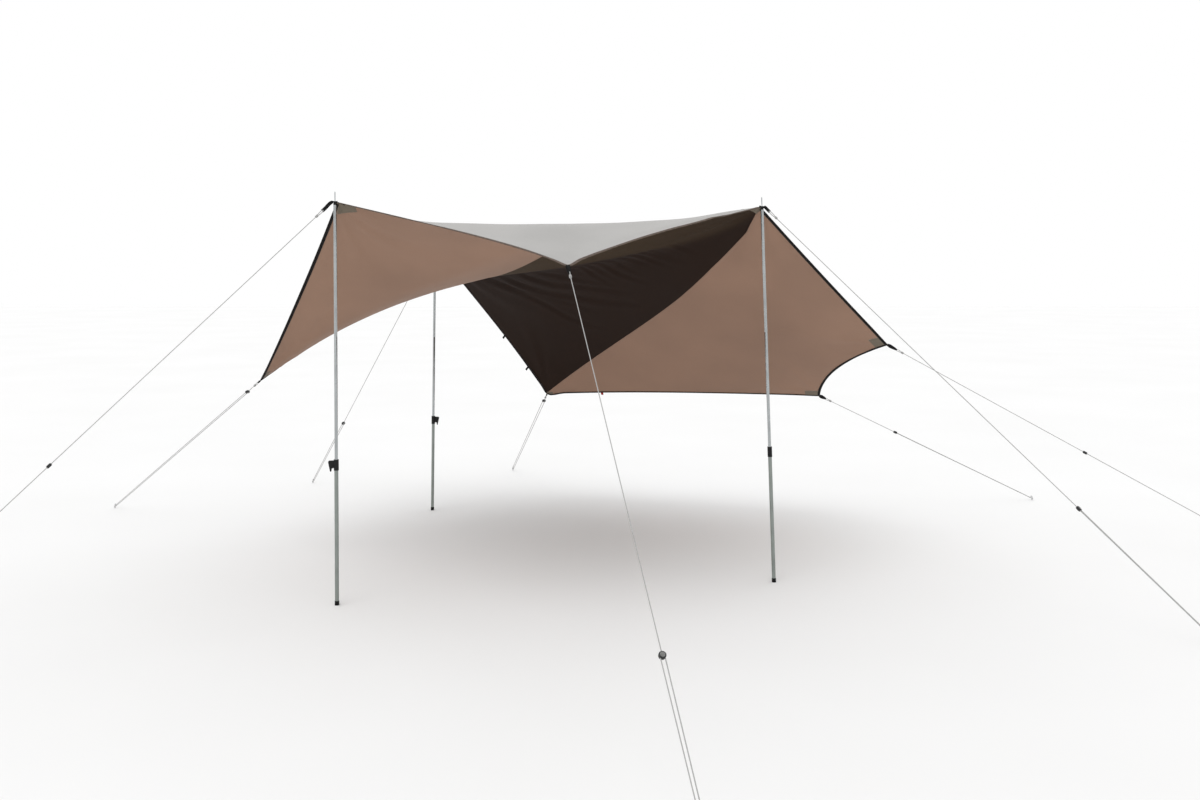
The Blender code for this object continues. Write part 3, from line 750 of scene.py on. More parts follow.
# %% Wrinkle waves
SECOND_RAYS = (1.7, 2.3, 3.0)
CREASE_START, CREASE_FADE = 0.12, 0.7
LIP_AWAY, LIP_SHARE = 1.7, 0.6
CALM_START, CALM_SPAN = 0.03, 0.12


def fan(spots, centre, depth, reach, rays, turn):
    """Rays of wrinkles from a pulled point, strongest a short way from it."""
    offset = spots[:, :2] - centre[:2]
    away = np.linalg.norm(spots - centre, axis=1)
    angle = np.arctan2(offset[:, 1], offset[:, 0])
    more_rays, more_turn, bend = SECOND_RAYS
    waves = np.cos(rays * angle + turn)
    waves = waves + 0.5 * np.cos(more_rays * rays * angle + more_turn * turn + bend * away)
    return depth * waves * (away / reach) * np.exp(1 - away / reach)


def crease(spots, stops, depth, width):
    """One soft fold along a line of the plan, deepest near its start and fading to its end."""
    line = smooth_path(np.array([(x, y, 0.0) for x, y in stops]), 6)[:, :2]
    walked = walked_lengths(line)
    near = np.full(len(spots), 1e9)
    aside, along = np.zeros(len(spots)), np.zeros(len(spots))
    for k in range(len(line) - 1):
        way = line[k + 1] - line[k]
        length = np.linalg.norm(way)
        offset = spots[:, :2] - line[k]
        share = np.clip(offset @ way / length ** 2, 0, 1)
        gap = offset - share[:, None] * way
        distance = np.linalg.norm(gap, axis=1)
        closer = distance < near
        near[closer] = distance[closer]
        aside[closer] = (np.sign(way[0] * gap[:, 1] - way[1] * gap[:, 0]) * distance)[closer]
        along[closer] = ((walked[k] + share * length) / walked[-1])[closer]
    fade = np.clip(along / CREASE_START, 0, 1) * (1 - along) ** CREASE_FADE
    groove = np.exp(-(aside / width) ** 2)
    lip = np.exp(-((aside - LIP_AWAY * width) / width) ** 2)
    return depth * fade * (groove - LIP_SHARE * lip)


FANS = (
    ("left_peak", 0.0022, 0.20, 11.0, 0.4),
    ("right_peak", 0.0022, 0.20, 12.0, 1.9),
    ("back_peak", 0.0028, 0.28, 13.0, 0.9),
    ("front_point", 0.0018, 0.16, 9.0, 2.6),
    ("left_corner", 0.0034, 0.24, 11.0, 1.2),
    ("back_corner", 0.0024, 0.20, 10.0, 3.7),
    ("right_corner", 0.0020, 0.18, 11.0, 0.2),
    ("far_corner", 0.0020, 0.18, 10.0, 2.2),
)
CREASES = (
    (((-1.10, 1.42), (-0.67, 1.22), (-0.43, 1.22), (-0.20, 1.16)), 0.0087, 0.020),
    (((-1.04, 1.36), (-0.67, 1.17), (-0.42, 1.07), (-0.26, 1.05)), 0.0072, 0.018),
    (((-0.94, 1.22), (-0.61, 1.09), (-0.42, 0.99), (-0.14, 0.87), (0.00, 0.81)), 0.0109, 0.024),
    (((-0.84, 1.06), (-0.58, 0.97), (-0.37, 0.85), (-0.06, 0.73)), 0.0087, 0.020),
    (((-0.72, 0.93), (-0.52, 0.84), (-0.42, 0.80), (-0.20, 0.71)), 0.0070, 0.018),
    (((-0.46, 0.50), (-0.29, 0.68), (-0.15, 0.72)), 0.0065, 0.018),
    (((-0.40, 0.50), (-0.30, 0.59), (-0.18, 0.64)), 0.0058, 0.016),
    (((-0.34, 0.43), (-0.17, 0.57), (0.03, 0.58)), 0.0072, 0.018),
    (((-0.27, 0.36), (-0.11, 0.50), (0.00, 0.52)), 0.0061, 0.016),
    (((-0.17, 0.36), (-0.06, 0.41), (0.04, 0.41)), 0.0052, 0.015),
    (((-0.11, 0.30), (0.06, 0.37), (0.17, 0.36)), 0.0058, 0.016),
    (((-0.05, 0.27), (0.13, 0.32), (0.25, 0.31)), 0.0052, 0.015),
    (((0.01, 0.25), (0.12, 0.29), (0.23, 0.29)), 0.0046, 0.015),
    (((0.13, 0.17), (0.22, 0.20), (0.31, 0.21)), 0.0043, 0.014),
    (((-2.16, 0.40), (-2.00, 0.18), (-1.83, -0.11), (-1.62, -0.40)), 0.0110, 0.050),
    (((-1.96, 0.24), (-1.84, 0.12), (-1.75, 0.01), (-1.66, -0.10)), 0.0060, 0.034),
    (((-1.30, 0.24), (-1.27, 0.05), (-1.25, -0.13)), 0.0030, 0.022),
    (((-1.24, 0.20), (-1.21, 0.03), (-1.20, -0.14)), 0.0026, 0.020),
    (((-1.14, 0.12), (-1.13, 0.00), (-1.12, -0.18)), 0.0028, 0.020),
    (((-1.08, 0.12), (-1.07, 0.00), (-1.06, -0.17)), 0.0024, 0.018),
    (((-1.03, 0.12), (-1.02, 0.00), (-1.00, -0.18)), 0.0022, 0.018),
    (((0.457, -0.297), (0.362, -0.384), (0.251, -0.450), (0.140, -0.554), (0.030, -0.685), (-0.065, -0.783),
      (-0.158, -0.907), (-0.267, -1.048)), -0.0120, 0.022),
)

normals = point_normals(sheet_points)
ripple = np.zeros(len(sheet_points))
for place, depth, reach, rays, turn in FANS:
    ripple += fan(sheet_points, held[place], depth, reach, rays, turn)
for stops, depth, width in CREASES:
    ripple += crease(sheet_points, stops, depth, width)
calm = np.min([np.linalg.norm(sheet_points - held[place], axis=1) for place in held], axis=0)
ripple *= np.clip((calm - CALM_START) / CALM_SPAN, 0, 1)
sheet_points = sheet_points + ripple[:, None] * normals
normals = point_normals(sheet_points)
print("deepest wrinkle", round(1000 * float(np.abs(ripple).max()), 1), "mm")

# %% [markdown]
# ## The canopy
# The sheet gets a cloth's thickness by moving its points up and down along
# their normals, with a narrow rim between. The outside is grey all over and
# the underside changes finish at the seams: brown under the outer sections
# and painted shade under the middle one. Its map follows the weave: metres
# along each row from the long seam, and metres along each column from the
# ridge.

# %% Canopy mesh
CLOTH = 0.0012
# Finish numbers: grey outside, brown underside, and the middle section's underside painted with shade.
OUTSIDE, BROWN, PAINTED_SHADE = 0, 1, 2
LIT_FOLD = (
    (-1.10, -0.97, -0.85, -0.65, -0.47, -0.32, -0.12, 0.14, 0.33, 0.48, 0.60),
    (0.90, 0.74, 0.67, 0.55, 0.49, 0.39, 0.31, 0.20, 0.075, -0.04, -0.20),
)
LIT_BLUR = 0.06
LIT_FADE = ((-0.30, 0.50), (1.0, 0.5))


def lit_shares():
    """How much daylight comes through at each point: most in front of the fold, on the left."""
    before = np.interp(sheet_points[:, 0], *LIT_FOLD) - sheet_points[:, 1]
    return np.clip(before / LIT_BLUR + 0.5, 0, 1) * np.interp(sheet_points[:, 0], *LIT_FADE)


def weave_map():
    """Metres across and along the cloth for each point."""
    spots = np.zeros((len(sheet_points), 2))
    main = sheet_points[main_number]
    steps = np.linalg.norm(np.diff(main, axis=1), axis=2)
    walked = np.concatenate([np.zeros((tall, 1)), np.cumsum(steps, axis=1)], axis=1)
    spots[main_number, 0] = walked - walked[:, [seam_column]]
    steps = np.linalg.norm(np.diff(main, axis=0), axis=2)
    spots[main_number, 1] = np.concatenate([np.zeros((1, wide)), np.cumsum(steps, axis=0)])
    roof = sheet_points[roof_number[:len(front_number) + 1]]
    steps = np.linalg.norm(np.diff(roof, axis=1), axis=2)
    walked = np.concatenate([np.zeros((len(roof), 1)), np.cumsum(steps, axis=1)], axis=1)
    walked = walked - walked[:, [seam_column]]
    steps = np.linalg.norm(np.diff(roof, axis=0), axis=2)[::-1]
    climbed = np.cumsum(steps, axis=0)[::-1]
    spots[front_number[:, 1:-1], 0] = walked[:-1, 1:-1]
    spots[front_number[:, 1:-1], 1] = -climbed[:, 1:-1]
    return spots


def border_edges():
    """The edges that belong to one face only, in that face's order."""
    count = {}
    for face in sheet_faces:
        for a, b in zip(face, face[1:] + face[:1]):
            count[(a, b)] = count.get((a, b), 0) + 1
    return [(a, b) for a, b in count if (b, a) not in count]


def canopy_mesh():
    top = sheet_points + CLOTH / 2 * normals
    under = sheet_points - CLOTH / 2 * normals
    half = len(sheet_points)
    faces = list(sheet_faces)
    finishes = [OUTSIDE] * len(faces)
    faces += [tuple(half + k for k in face[::-1]) for face in sheet_faces]
    # The middle section's underside gets the painted shade, the outer sections the brown.
    finishes += [PAINTED_SHADE if part == MIDDLE else BROWN for part in section]
    rim = [(b, a, half + a, half + b) for a, b in border_edges()]
    faces += rim
    finishes += [OUTSIDE] * len(rim)
    mesh = mesh_from("canopy", np.concatenate([top, under]), faces)
    mesh.polygons.foreach_set("material_index", finishes)
    corner_points = np.zeros(len(mesh.loops), dtype=np.int32)
    mesh.loops.foreach_get("vertex_index", corner_points)
    spots = weave_map()
    mesh.uv_layers.new(name="cloth").data.foreach_set("uv", spots[corner_points % half].ravel())
    mesh.attributes.new("lit", "FLOAT", "POINT").data.foreach_set("value", np.tile(lit_shares(), 2))
    return mesh


canopy = finished_piece(
    "canopy", canopy_mesh(), (cloth_outside, cloth_brown, cloth_dark), "tarp",
    replaces=("left_panel", "middle_panel", "right_panel"), sharp=60.0)

# %% [markdown]
# ## Bindings and seams
# A tape is folded over every raw edge and sewn down. It is wide and black on
# both ends, on the right side and on the middle of the back. Along the front it
# is thin and grey-brown, and on the rest of the back narrow and dark. Behind
# the ridge both seams are felled: one cloth laps the other, which shows as a
# flat strip. Each tape and strip is a sweep with its width lying on the cloth,
# so it follows every dip, and it stops just before the corner's own pieces.

# %% Hem and seam lines
def line_on_sheet(numbers, inner_numbers):
    """Places, inward directions and normals along a line of the sheet."""
    path = sheet_points[numbers]
    up = normals[numbers]
    along = path_directions(path)
    inward = sheet_points[inner_numbers] - path
    inward -= np.sum(inward * along, axis=1)[:, None] * along
    inward -= np.sum(inward * up, axis=1)[:, None] * up
    size = np.linalg.norm(inward, axis=1)
    good = np.nonzero(size > 1e-6)[0]
    for k in np.nonzero(size <= 1e-6)[0]:
        inward[k] = inward[good[np.abs(good - k).argmin()]]
    inward /= np.linalg.norm(inward, axis=1)[:, None]
    up = np.cross(inward, along)
    up *= np.sign(np.sum(up * normals[numbers], axis=1))[:, None]
    return path, inward, up


front_hem = front_number[0]
inside_front = front_number[1]
hems = {
    "left_front": (front_hem[:seam_column + 1], inside_front[:seam_column + 1]),
    "right_front": (front_hem[seam_column:], inside_front[seam_column:]),
    "right_side": (main_number[0, peak_column:], main_number[1, peak_column:]),
    "right_end": (main_number[:, -1], main_number[:, -2]),
    "far_back": (main_number[-1, peak_column:][::-1], main_number[-2, peak_column:][::-1]),
    "middle_back": tuple(main_number[row, seam_column:peak_column + 1][::-1] for row in (-1, -2)),
    "left_back": (main_number[-1, :seam_column + 1][::-1], main_number[-2, :seam_column + 1][::-1]),
    "left_side": (main_number[:, 0][::-1], main_number[:, 1][::-1]),
}
hem_lines = {name: line_on_sheet(*numbers) for name, numbers in hems.items()}
for name, (path, _, _) in hem_lines.items():
    print(name, "hem", round(float(walked_lengths(path)[-1]), 2), "m")

# %% Hem bindings
WIDE_BINDING = (0.018, 0.0060)
NARROW_BINDING = (0.014, 0.0080)
FRONT_BINDING = (0.016, 0.0040)
EDGE_COVER = 0.0012
WIDE_HEMS = ("left_side", "right_side", "right_end", "middle_back")
BINDING_STOP = 0.6
MOST_CUT = 0.6


def up_to_corners(line, gap):
    """A hem or seam line that stops a small gap before each of its corners."""
    path, inward, up = (values.copy() for values in line)
    for end, inside in ((0, 1), (-1, -2)):
        way = path[inside] - path[end]
        path[end] += min(gap / np.linalg.norm(way), MOST_CUT) * way
        inward[end], up[end] = inward[inside], up[inside]
    return path, inward, up


def binding_sweep(line, width, thick):
    path, inward, up = up_to_corners(line, BINDING_STOP * width)
    shifted = path + (width / 2 - EDGE_COVER) * inward
    return sweep_parts(shifted, inward, up, flat_outline(width, thick))


def binding_kind(name):
    """Width and thickness of a hem's binding, and its finish."""
    if name in WIDE_HEMS:
        return WIDE_BINDING, black_binding
    if name.endswith("_front"):
        return FRONT_BINDING, front_binding
    return NARROW_BINDING, dark_binding


for name, line in hem_lines.items():
    (width, thick), finish = binding_kind(name)
    mesh = swept_mesh(name + "_binding", [binding_sweep(line, width, thick)])
    finished_piece(name + "_binding", mesh, (finish,), "tarp")

# %% Felled seams
SEAM_WIDTH, SEAM_THICK = 0.016, 0.0026
SEAM_STOP = 0.015
SEAM_FACES = (("top", cloth_outside, 0.0002), ("under", cloth_brown, -0.0006))
seams = {
    "long_seam": (main_number[:, seam_column], main_number[:, seam_column + 1]),
    "right_seam": (main_number[:, peak_column], main_number[:, peak_column + 1]),
}
seam_lines = {name: line_on_sheet(*numbers) for name, numbers in seams.items()}
for name, line in seam_lines.items():
    path, inward, up = up_to_corners(line, SEAM_STOP)
    for face, finish, lift in SEAM_FACES:
        mesh = swept_mesh(f"{name}_{face}", [sweep_parts(
            path + lift * up, inward, up, flat_outline(SEAM_WIDTH, SEAM_THICK / 2))])
        mesh.uv_layers[0].name = "cloth"
        finished_piece(f"{name}_{face}", mesh, (finish,), "tarp")

# %% [markdown]
# ## Corner patches
# Each corner carries the pull of its line, so a patch of heavier cloth is sewn
# over it on both sides, as a short strip along the hem. The patch is the
# sheet's own corner, cut off along straight lines and thickened, so it lies on
# the cloth everywhere.

# %% Corner patches
PATCH_THICK = 0.0030
PATCH_BEHIND = 0.012
PATCH_CELLS = 8
PATCH_STITCH_INSET = 0.004
UPWARD = 0.3
PATCHES = {
    "left_peak": ("left_front", 0, 0.095, 0.058),
    "right_peak": ("right_front", -1, 0.110, 0.046),
    "back_peak": ("middle_back", -1, 0.095, 0.046),
    "front_point": ("right_front", 0, 0.050, 0.034),
    "left_corner": ("left_side", 0, 0.090, 0.040),
    "back_corner": ("far_back", -1, 0.050, 0.022),
    "right_corner": ("right_side", -1, 0.105, 0.078),
    "far_corner": ("far_back", 0, 0.095, 0.066),
}
face_middles = np.array([sheet_points[list(face)].mean(axis=0) for face in sheet_faces])
patch_edges = {}


def patch_mesh(place):
    """The sheet's own corner, cut off along a hem at one length and one height."""
    hem, end, length, height = PATCHES[place]
    path, inward_side, _ = hem_lines[hem]
    centre = path[end]
    step = PATCH_CELLS if end == 0 else -PATCH_CELLS - 1
    along = unit(path[step] - centre)
    inward = unit(inward_side[step] - np.dot(inward_side[step], along) * along)
    near = np.nonzero(np.linalg.norm(face_middles - centre, axis=1) < 2.0 * length)[0]
    used = sorted({k for f in near for k in sheet_faces[f]})
    number = {k: j for j, k in enumerate(used)}
    faces = [tuple(number[k] for k in sheet_faces[f]) for f in near]
    mesh = mesh_from(place + "_patch", sheet_points[used], faces)
    shell = bmesh.new()
    shell.from_mesh(mesh)
    for spot, facing in ((centre + length * along, along), (centre + height * inward, inward),
                         (centre - PATCH_BEHIND * along, -along)):
        bmesh.ops.bisect_plane(
            shell, geom=shell.verts[:] + shell.edges[:] + shell.faces[:], dist=1e-6,
            plane_co=spot, plane_no=facing, clear_outer=True)
    spots = [np.array(vert.co) for vert in shell.verts]
    edge = [spot for spot in spots if abs(np.dot(spot - centre, inward) - height) < 1e-4]
    edge.sort(key=lambda spot: float(np.dot(spot, along)))
    patch_edges[place] = np.array(edge) - PATCH_STITCH_INSET * inward
    shell.to_mesh(mesh)
    shell.free()
    return mesh


def thick_mesh(mesh, thick):
    """The same surface as a closed shell."""
    holder = bpy.data.objects.new("holder", mesh)
    scene.collection.objects.link(holder)
    skin = holder.modifiers.new("skin", "SOLIDIFY")
    skin.thickness = thick
    skin.offset = 0.0
    graph = bpy.context.evaluated_depsgraph_get()
    solid = bpy.data.meshes.new_from_object(holder.evaluated_get(graph))
    bpy.data.objects.remove(holder, do_unlink=True)
    return solid


def plan_map(mesh, name):
    """A map in metres from the plan."""
    layer = mesh.uv_layers.new(name=name)
    spots = [mesh.vertices[loop.vertex_index].co[:2] for loop in mesh.loops]
    layer.data.foreach_set("uv", np.array(spots, dtype=float).ravel())


for place in POINTS:
    mesh = thick_mesh(patch_mesh(place), PATCH_THICK)
    plan_map(mesh, "cloth")
    for face in mesh.polygons:
        face.material_index = 1 if face.normal.z > UPWARD else 0
    finished_piece(
        place + "_patch", mesh, (patch_cloth, cloth_outside), "tarp")

# %% [markdown]
# ## Stitches
# Thousands of equal stitches are work for Geometry Nodes: a thread line goes
# in, points are set on it at one pitch, and a small bead of thread is placed
# on each and turned along the line. A row of separate objects would do the
# same but would be slow to make and to change.

# %% Stitch tree
STITCH_PITCH = 0.010
STITCH_SHARE = 0.65
STITCH_THREAD = 0.0011


def stitch_tree():
    tree = bpy.data.node_groups.new("stitch_row", "GeometryNodeTree")
    face = tree.interface
    face.new_socket("Geometry", in_out="INPUT", socket_type="NodeSocketGeometry")
    sizes = {}
    for name, value in (("Pitch", STITCH_PITCH), ("Stitch length", STITCH_SHARE * STITCH_PITCH),
                        ("Thread", STITCH_THREAD)):
        socket = face.new_socket(name, in_out="INPUT", socket_type="NodeSocketFloat")
        socket.default_value = value
        sizes[name] = socket.identifier
    paint = face.new_socket("Finish", in_out="INPUT", socket_type="NodeSocketMaterial")
    sizes["Finish"] = paint.identifier
    face.new_socket("Geometry", in_out="OUTPUT", socket_type="NodeSocketGeometry")
    begin = tree.nodes.new("NodeGroupInput")
    end = tree.nodes.new("NodeGroupOutput")
    line = add_node(tree, "GeometryNodeMeshToCurve", Mesh=begin.outputs["Geometry"])
    spots = add_node(tree, "GeometryNodeCurveToPoints", {"mode": "LENGTH"}, Curve=line.outputs["Curve"])
    tree.links.new(begin.outputs["Pitch"], spots.inputs["Length"])
    bead = add_node(tree, "GeometryNodeMeshIcoSphere", Radius=0.5, Subdivisions=1)
    size = add_node(tree, "ShaderNodeCombineXYZ", X=begin.outputs["Thread"], Y=begin.outputs["Thread"],
                    Z=begin.outputs["Stitch length"])
    row = add_node(tree, "GeometryNodeInstanceOnPoints", Points=spots.outputs["Points"],
                   Instance=bead.outputs["Mesh"], Rotation=spots.outputs["Rotation"],
                   Scale=size.outputs["Vector"])
    solid = add_node(tree, "GeometryNodeRealizeInstances", Geometry=row.outputs["Instances"])
    painted = add_node(tree, "GeometryNodeSetMaterial", Geometry=solid.outputs["Geometry"],
                       Material=begin.outputs["Finish"])
    tree.links.new(painted.outputs["Geometry"], end.inputs["Geometry"])
    return tree, sizes


stitches, stitch_inputs = stitch_tree()


def stitch_rows(name, lines, finish, pitch=STITCH_PITCH):
    """One piece with a stitch row along each line."""
    vertices, edges = [], []
    for line in lines:
        start = len(vertices)
        vertices.extend(tuple(float(x) for x in place) for place in line)
        edges.extend((start + k, start + k + 1) for k in range(len(line) - 1))
    guide_mesh = bpy.data.meshes.new(name + "_guide")
    guide_mesh.from_pydata(vertices, edges, [])
    guide = bpy.data.objects.new(name + "_guide", guide_mesh)
    scene.collection.objects.link(guide)
    modifier = guide.modifiers.new("stitches", "NODES")
    modifier.node_group = stitches
    modifier[stitch_inputs["Pitch"]] = pitch
    modifier[stitch_inputs["Stitch length"]] = STITCH_SHARE * pitch
    modifier[stitch_inputs["Thread"]] = STITCH_THREAD
    modifier[stitch_inputs["Finish"]] = finish
    graph = bpy.context.evaluated_depsgraph_get()
    mesh = bpy.data.meshes.new_from_object(guide.evaluated_get(graph))
    bpy.data.objects.remove(guide, do_unlink=True)
    mesh.materials.clear()
    mesh.uv_layers.new(name="along")
    return finished_piece(name, mesh, (finish,), "tarp", sharp=80.0)


HEM_STITCH_INSET = 0.0022
SEAM_STITCH_INSET, SEAM_STITCH_LIFT = 0.0025, 0.0013
for name, (path, inward, up) in hem_lines.items():
    (width, thick), _ = binding_kind(name)
    row = (path + (width - EDGE_COVER - HEM_STITCH_INSET) * inward)[2:-2]
    lift = (thick / 2) * up[2:-2]
    stitch_rows(name + "_stitches", [row + lift, row - lift], grey_thread)
for name, (path, inward, up) in seam_lines.items():
    rows = []
    for aside in (-1, 1):
        row = (path + aside * (SEAM_WIDTH / 2 - SEAM_STITCH_INSET) * inward)[3:-3]
        lift = SEAM_STITCH_LIFT * up[3:-3]
        rows += [row + lift, row - lift]
    stitch_rows(name + "_stitches", rows, grey_thread)
patch_rows = []
for place, row in patch_edges.items():
    hem, end, _, _ = PATCHES[place]
    lift = PATCH_THICK / 2 * hem_lines[hem][2][end]
    patch_rows += [row + lift, row - lift]
stitch_rows("patch_stitches", patch_rows, grey_thread)

# %% [markdown]
# ## Webbing at the points
# A peak has a blackened eyelet in its webbing that drops over the spike, with
# a tail that twists upright on its way down to its line. The low corners have
# an upright webbing loop that the pull of the line opens a little, and the
# front point has a loop that lies flat. All are flat sweeps along smooth paths;
# a plain ribbon would have no thickness at its edges.

# %% Lines to the pegs
LOOP_HEIGHT = 0.012
STRAP_FLAT = 0.012


def line_start(place):
    """Where the webbing ends and the cord begins, and the cord's heading."""
    start = points[place]
    ground = np.array([*PEGS[place], LOOP_HEIGHT])
    heading = unit(ground - start)
    if place in PEAKS:
        out = unit([heading[0], heading[1], 0.0])
        bend = start + STRAP_FLAT * out
        heading = unit(ground - bend)
        return bend + STRAP_TAIL[place] * heading, heading
    return start + STRAP_TAIL[place] * heading, heading


line_starts = {place: line_start(place) for place in POINTS}
print("line starts at heights", [round(float(s[0][2]), 2) for s in line_starts.values()])

# %% Webbing straps
WEBBING_THICK = 0.0022
WEBBING_WIDTH = {
    "left_peak": 0.018,
    "right_peak": 0.017,
    "back_peak": 0.017,
    "front_point": 0.020,
    "left_corner": 0.010,
    "back_corner": 0.014,
    "right_corner": 0.023,
    "far_corner": 0.024,
}
LOOP_SHAPE = ((0.0, 0.30, 0.75, 1.0), (0.60, 1.0, 0.72, 0.40))
POINT_SHAPE = ((0.0, 0.30, 0.75, 1.0), (1.0, 0.95, 0.72, 0.60))
TWIST_LENGTH = 0.014
WEBBING_STEPS = 6
WEBBING_LIFT, WEBBING_BEND = 0.0022, 0.006
WEBBING_SEWN, WEBBING_FREE = 0.045, 0.010
TAIL_END = 0.02
CLOTH_NEAR, NORMALS_NEAR = 0.2, 0.08
STRAP_STITCH_SHARE, STRAP_STITCH_LIFT, STRAP_STITCH_PITCH = 0.36, 0.0013, 0.006
LOOP_STEPS = 32
LOOP_OPEN, LOOP_SEWN, LOOP_BULGE = 0.03, 0.006, 0.09
LOOP_THICK = 0.0018
POINT_REACH = 0.008
strap_stitch_lines = []


def level_side(heading):
    return unit(np.cross([0.0, 0.0, 1.0], heading))


def peak_webbing(place):
    """From the cloth over the spike and down to the line, level first and then upright."""
    centre, tip = points[place], held[place]
    end, heading = line_starts[place]
    inward = unit([*(middle - centre)[:2], 0.0])
    out = unit([heading[0], heading[1], 0.0])
    cloth = face_middles[np.linalg.norm(face_middles - tip, axis=1) < CLOTH_NEAR].mean(axis=0)
    cloth_up = unit(normals[np.linalg.norm(sheet_points - tip, axis=1) < NORMALS_NEAR].mean(axis=0))
    onto_cloth, lift = unit(cloth - tip), WEBBING_LIFT * cloth_up
    path = smooth_path([
        tip + WEBBING_SEWN * onto_cloth + lift, tip + WEBBING_FREE * onto_cloth + lift,
        centre + WEBBING_BEND * inward, centre, centre + WEBBING_BEND * out,
        centre + STRAP_FLAT * out + WEBBING_BEND * heading, end - TAIL_END * heading, end], WEBBING_STEPS)
    along = path_directions(path)
    walked = walked_lengths(path)
    leaves, over_spike, bends = walked[WEBBING_STEPS], walked[3 * WEBBING_STEPS], walked[4 * WEBBING_STEPS]
    turned = np.clip((walked - leaves) / (over_spike - leaves), 0, 1)[:, None]
    level = turned * level_side(out) + (1 - turned) * unit(np.cross(along[0], cloth_up))
    level -= np.sum(level * along, axis=1)[:, None] * along
    level /= np.linalg.norm(level, axis=1)[:, None]
    twist = np.clip((walked - bends) / TWIST_LENGTH, 0, 1)[:, None] * math.pi / 2
    side = level * np.cos(twist) + np.cross(along, level) * np.sin(twist)
    up = np.cross(along, side)
    edge = STRAP_STITCH_SHARE * WEBBING_WIDTH[place]
    for aside in (edge, -edge):
        strap_stitch_lines.append((path + STRAP_STITCH_LIFT * up + aside * side)[2:10])
    return sweep_parts(path, side, up, flat_outline(WEBBING_WIDTH[place], WEBBING_THICK))


def corner_webbing(place):
    """A loop that starts and ends at the corner, with the line through its far end."""
    end, heading = line_starts[place]
    tip = points[place]
    up = level_side(heading)
    side = np.cross(up, heading)
    reach = np.linalg.norm(end - tip)
    shape = LOOP_SHAPE
    if place == "front_point":
        up, side, shape = -side, up, POINT_SHAPE
        reach += POINT_REACH
    path, sides = [], []
    for step in range(LOOP_STEPS + 1):
        turn = 2 * math.pi * (LOOP_OPEN + (1 - 2 * LOOP_OPEN) * step / LOOP_STEPS)
        out = (1 - math.cos(turn)) / 2
        path.append(tip - LOOP_SEWN * heading + (reach + LOOP_SEWN) * out * heading
                    + LOOP_BULGE * reach * math.sin(turn) * up)
        sides.append(side * np.interp(out, *shape))
    path, sides = np.array(path), np.array(sides)
    ups = np.cross(path_directions(path), side)
    return sweep_parts(path, sides, ups, flat_outline(WEBBING_WIDTH[place], LOOP_THICK))


straps = []
for place in POINTS:
    sweep = peak_webbing(place) if place in PEAKS else corner_webbing(place)
    mesh = swept_mesh(place + "_webbing", [sweep])
    straps.append(finished_piece(
        place + "_webbing", mesh, (black_webbing,), "tarp", replaces=(place + "_strap",)))
straps.append(stitch_rows("webbing_stitches", strap_stitch_lines, grey_thread, STRAP_STITCH_PITCH))
print(len(straps), "straps")

# %% [markdown]
# Small tape loops are sewn under some hems, for tying on a side wall or for
# folding the tarp away. Two are black on the middle back hem, one is black on
# the left back hem and one is red on the far back hem.

# %% Hem loops
HEM_LOOPS = (
    ("middle_back_low", "middle_back", 0.20, black_webbing, 0.034),
    ("middle_back_high", "middle_back", 0.42, black_webbing, 0.034),
    ("left_back", "left_back", 0.78, black_webbing, 0.022),
    ("far_back_red", "far_back", 0.80, red_tape, 0.024),
)


TAPE_WIDTH, TAPE_THICK = 0.014, 0.0014
TAPE_STEPS = 16
TAPE_OPEN, TAPE_SEWN, TAPE_BULGE, TAPE_DROP = 0.05, 0.004, 0.18, 0.6


def hem_loop(line, share, size):
    """A loop of tape that leaves the hem outward and hangs down a little."""
    path, inward, _ = line
    k = int(share * (len(path) - 1))
    outward = -inward[k]
    along = unit(path[k + 1] - path[k - 1])
    down = unit(outward - np.array([0.0, 0.0, TAPE_DROP]))
    spots = []
    for step in range(TAPE_STEPS + 1):
        turn = 2 * math.pi * (TAPE_OPEN + (1 - 2 * TAPE_OPEN) * step / TAPE_STEPS)
        spots.append(path[k] - TAPE_SEWN * down + size * (1 - math.cos(turn)) / 2 * down
                     + TAPE_BULGE * size * math.sin(turn) * np.cross(along, down))
    spots = np.array(spots)
    sides = np.repeat(along[None, :], len(spots), axis=0)
    ups = np.cross(path_directions(spots), sides)
    return sweep_parts(spots, sides, ups, flat_outline(TAPE_WIDTH, TAPE_THICK))


for name, hem, share, finish, size in HEM_LOOPS:
    mesh = swept_mesh(name + "_loop", [hem_loop(hem_lines[hem], share, size)])
    finished_piece(name + "_loop", mesh, (finish,), "tarp")
print(len(HEM_LOOPS), "hem loops")

# %% [markdown]
# A lathe turns a profile round an axis. Eyelets, tubes and the faces of the
# runners are all turned parts, so one helper serves them: it takes radius and
# height pairs, and closes the shape where the radius is nothing.

# %% Helper for turned parts
def lathe_parts(profile, base, axis, sides=32, closed=False):
    axis = unit(axis)
    spare = np.array([1.0, 0.0, 0.0]) if abs(axis[0]) < 0.8 else np.array([0.0, 1.0, 0.0])
    first = unit(np.cross(axis, spare))
    second = np.cross(axis, first)
    rings, vertices = [], []
    for radius, height in profile:
        start = len(vertices)
        if radius < 1e-7:
            vertices.append(base + height * axis)
            rings.append([start] * sides)
            continue
        for k in range(sides):
            turn = 2 * math.pi * k / sides
            outward = math.cos(turn) * first + math.sin(turn) * second
            vertices.append(base + height * axis + radius * outward)
        rings.append(list(range(start, start + sides)))
    pairs = list(zip(rings[:-1], rings[1:]))
    if closed:
        pairs.append((rings[-1], rings[0]))
    faces = []
    for low, high in pairs:
        for k in range(sides):
            j = (k + 1) % sides
            ring = [low[k], low[j], high[j], high[k]]
            ring = [v for i, v in enumerate(ring) if v != ring[i - 1]]
            if len(ring) > 2:
                faces.append(tuple(ring))
    return vertices, faces


EYELET_INNER, EYELET_OUTER, EYELET_THICK = 0.0031, 0.0070, 0.0034
EYELET_STEPS = 10


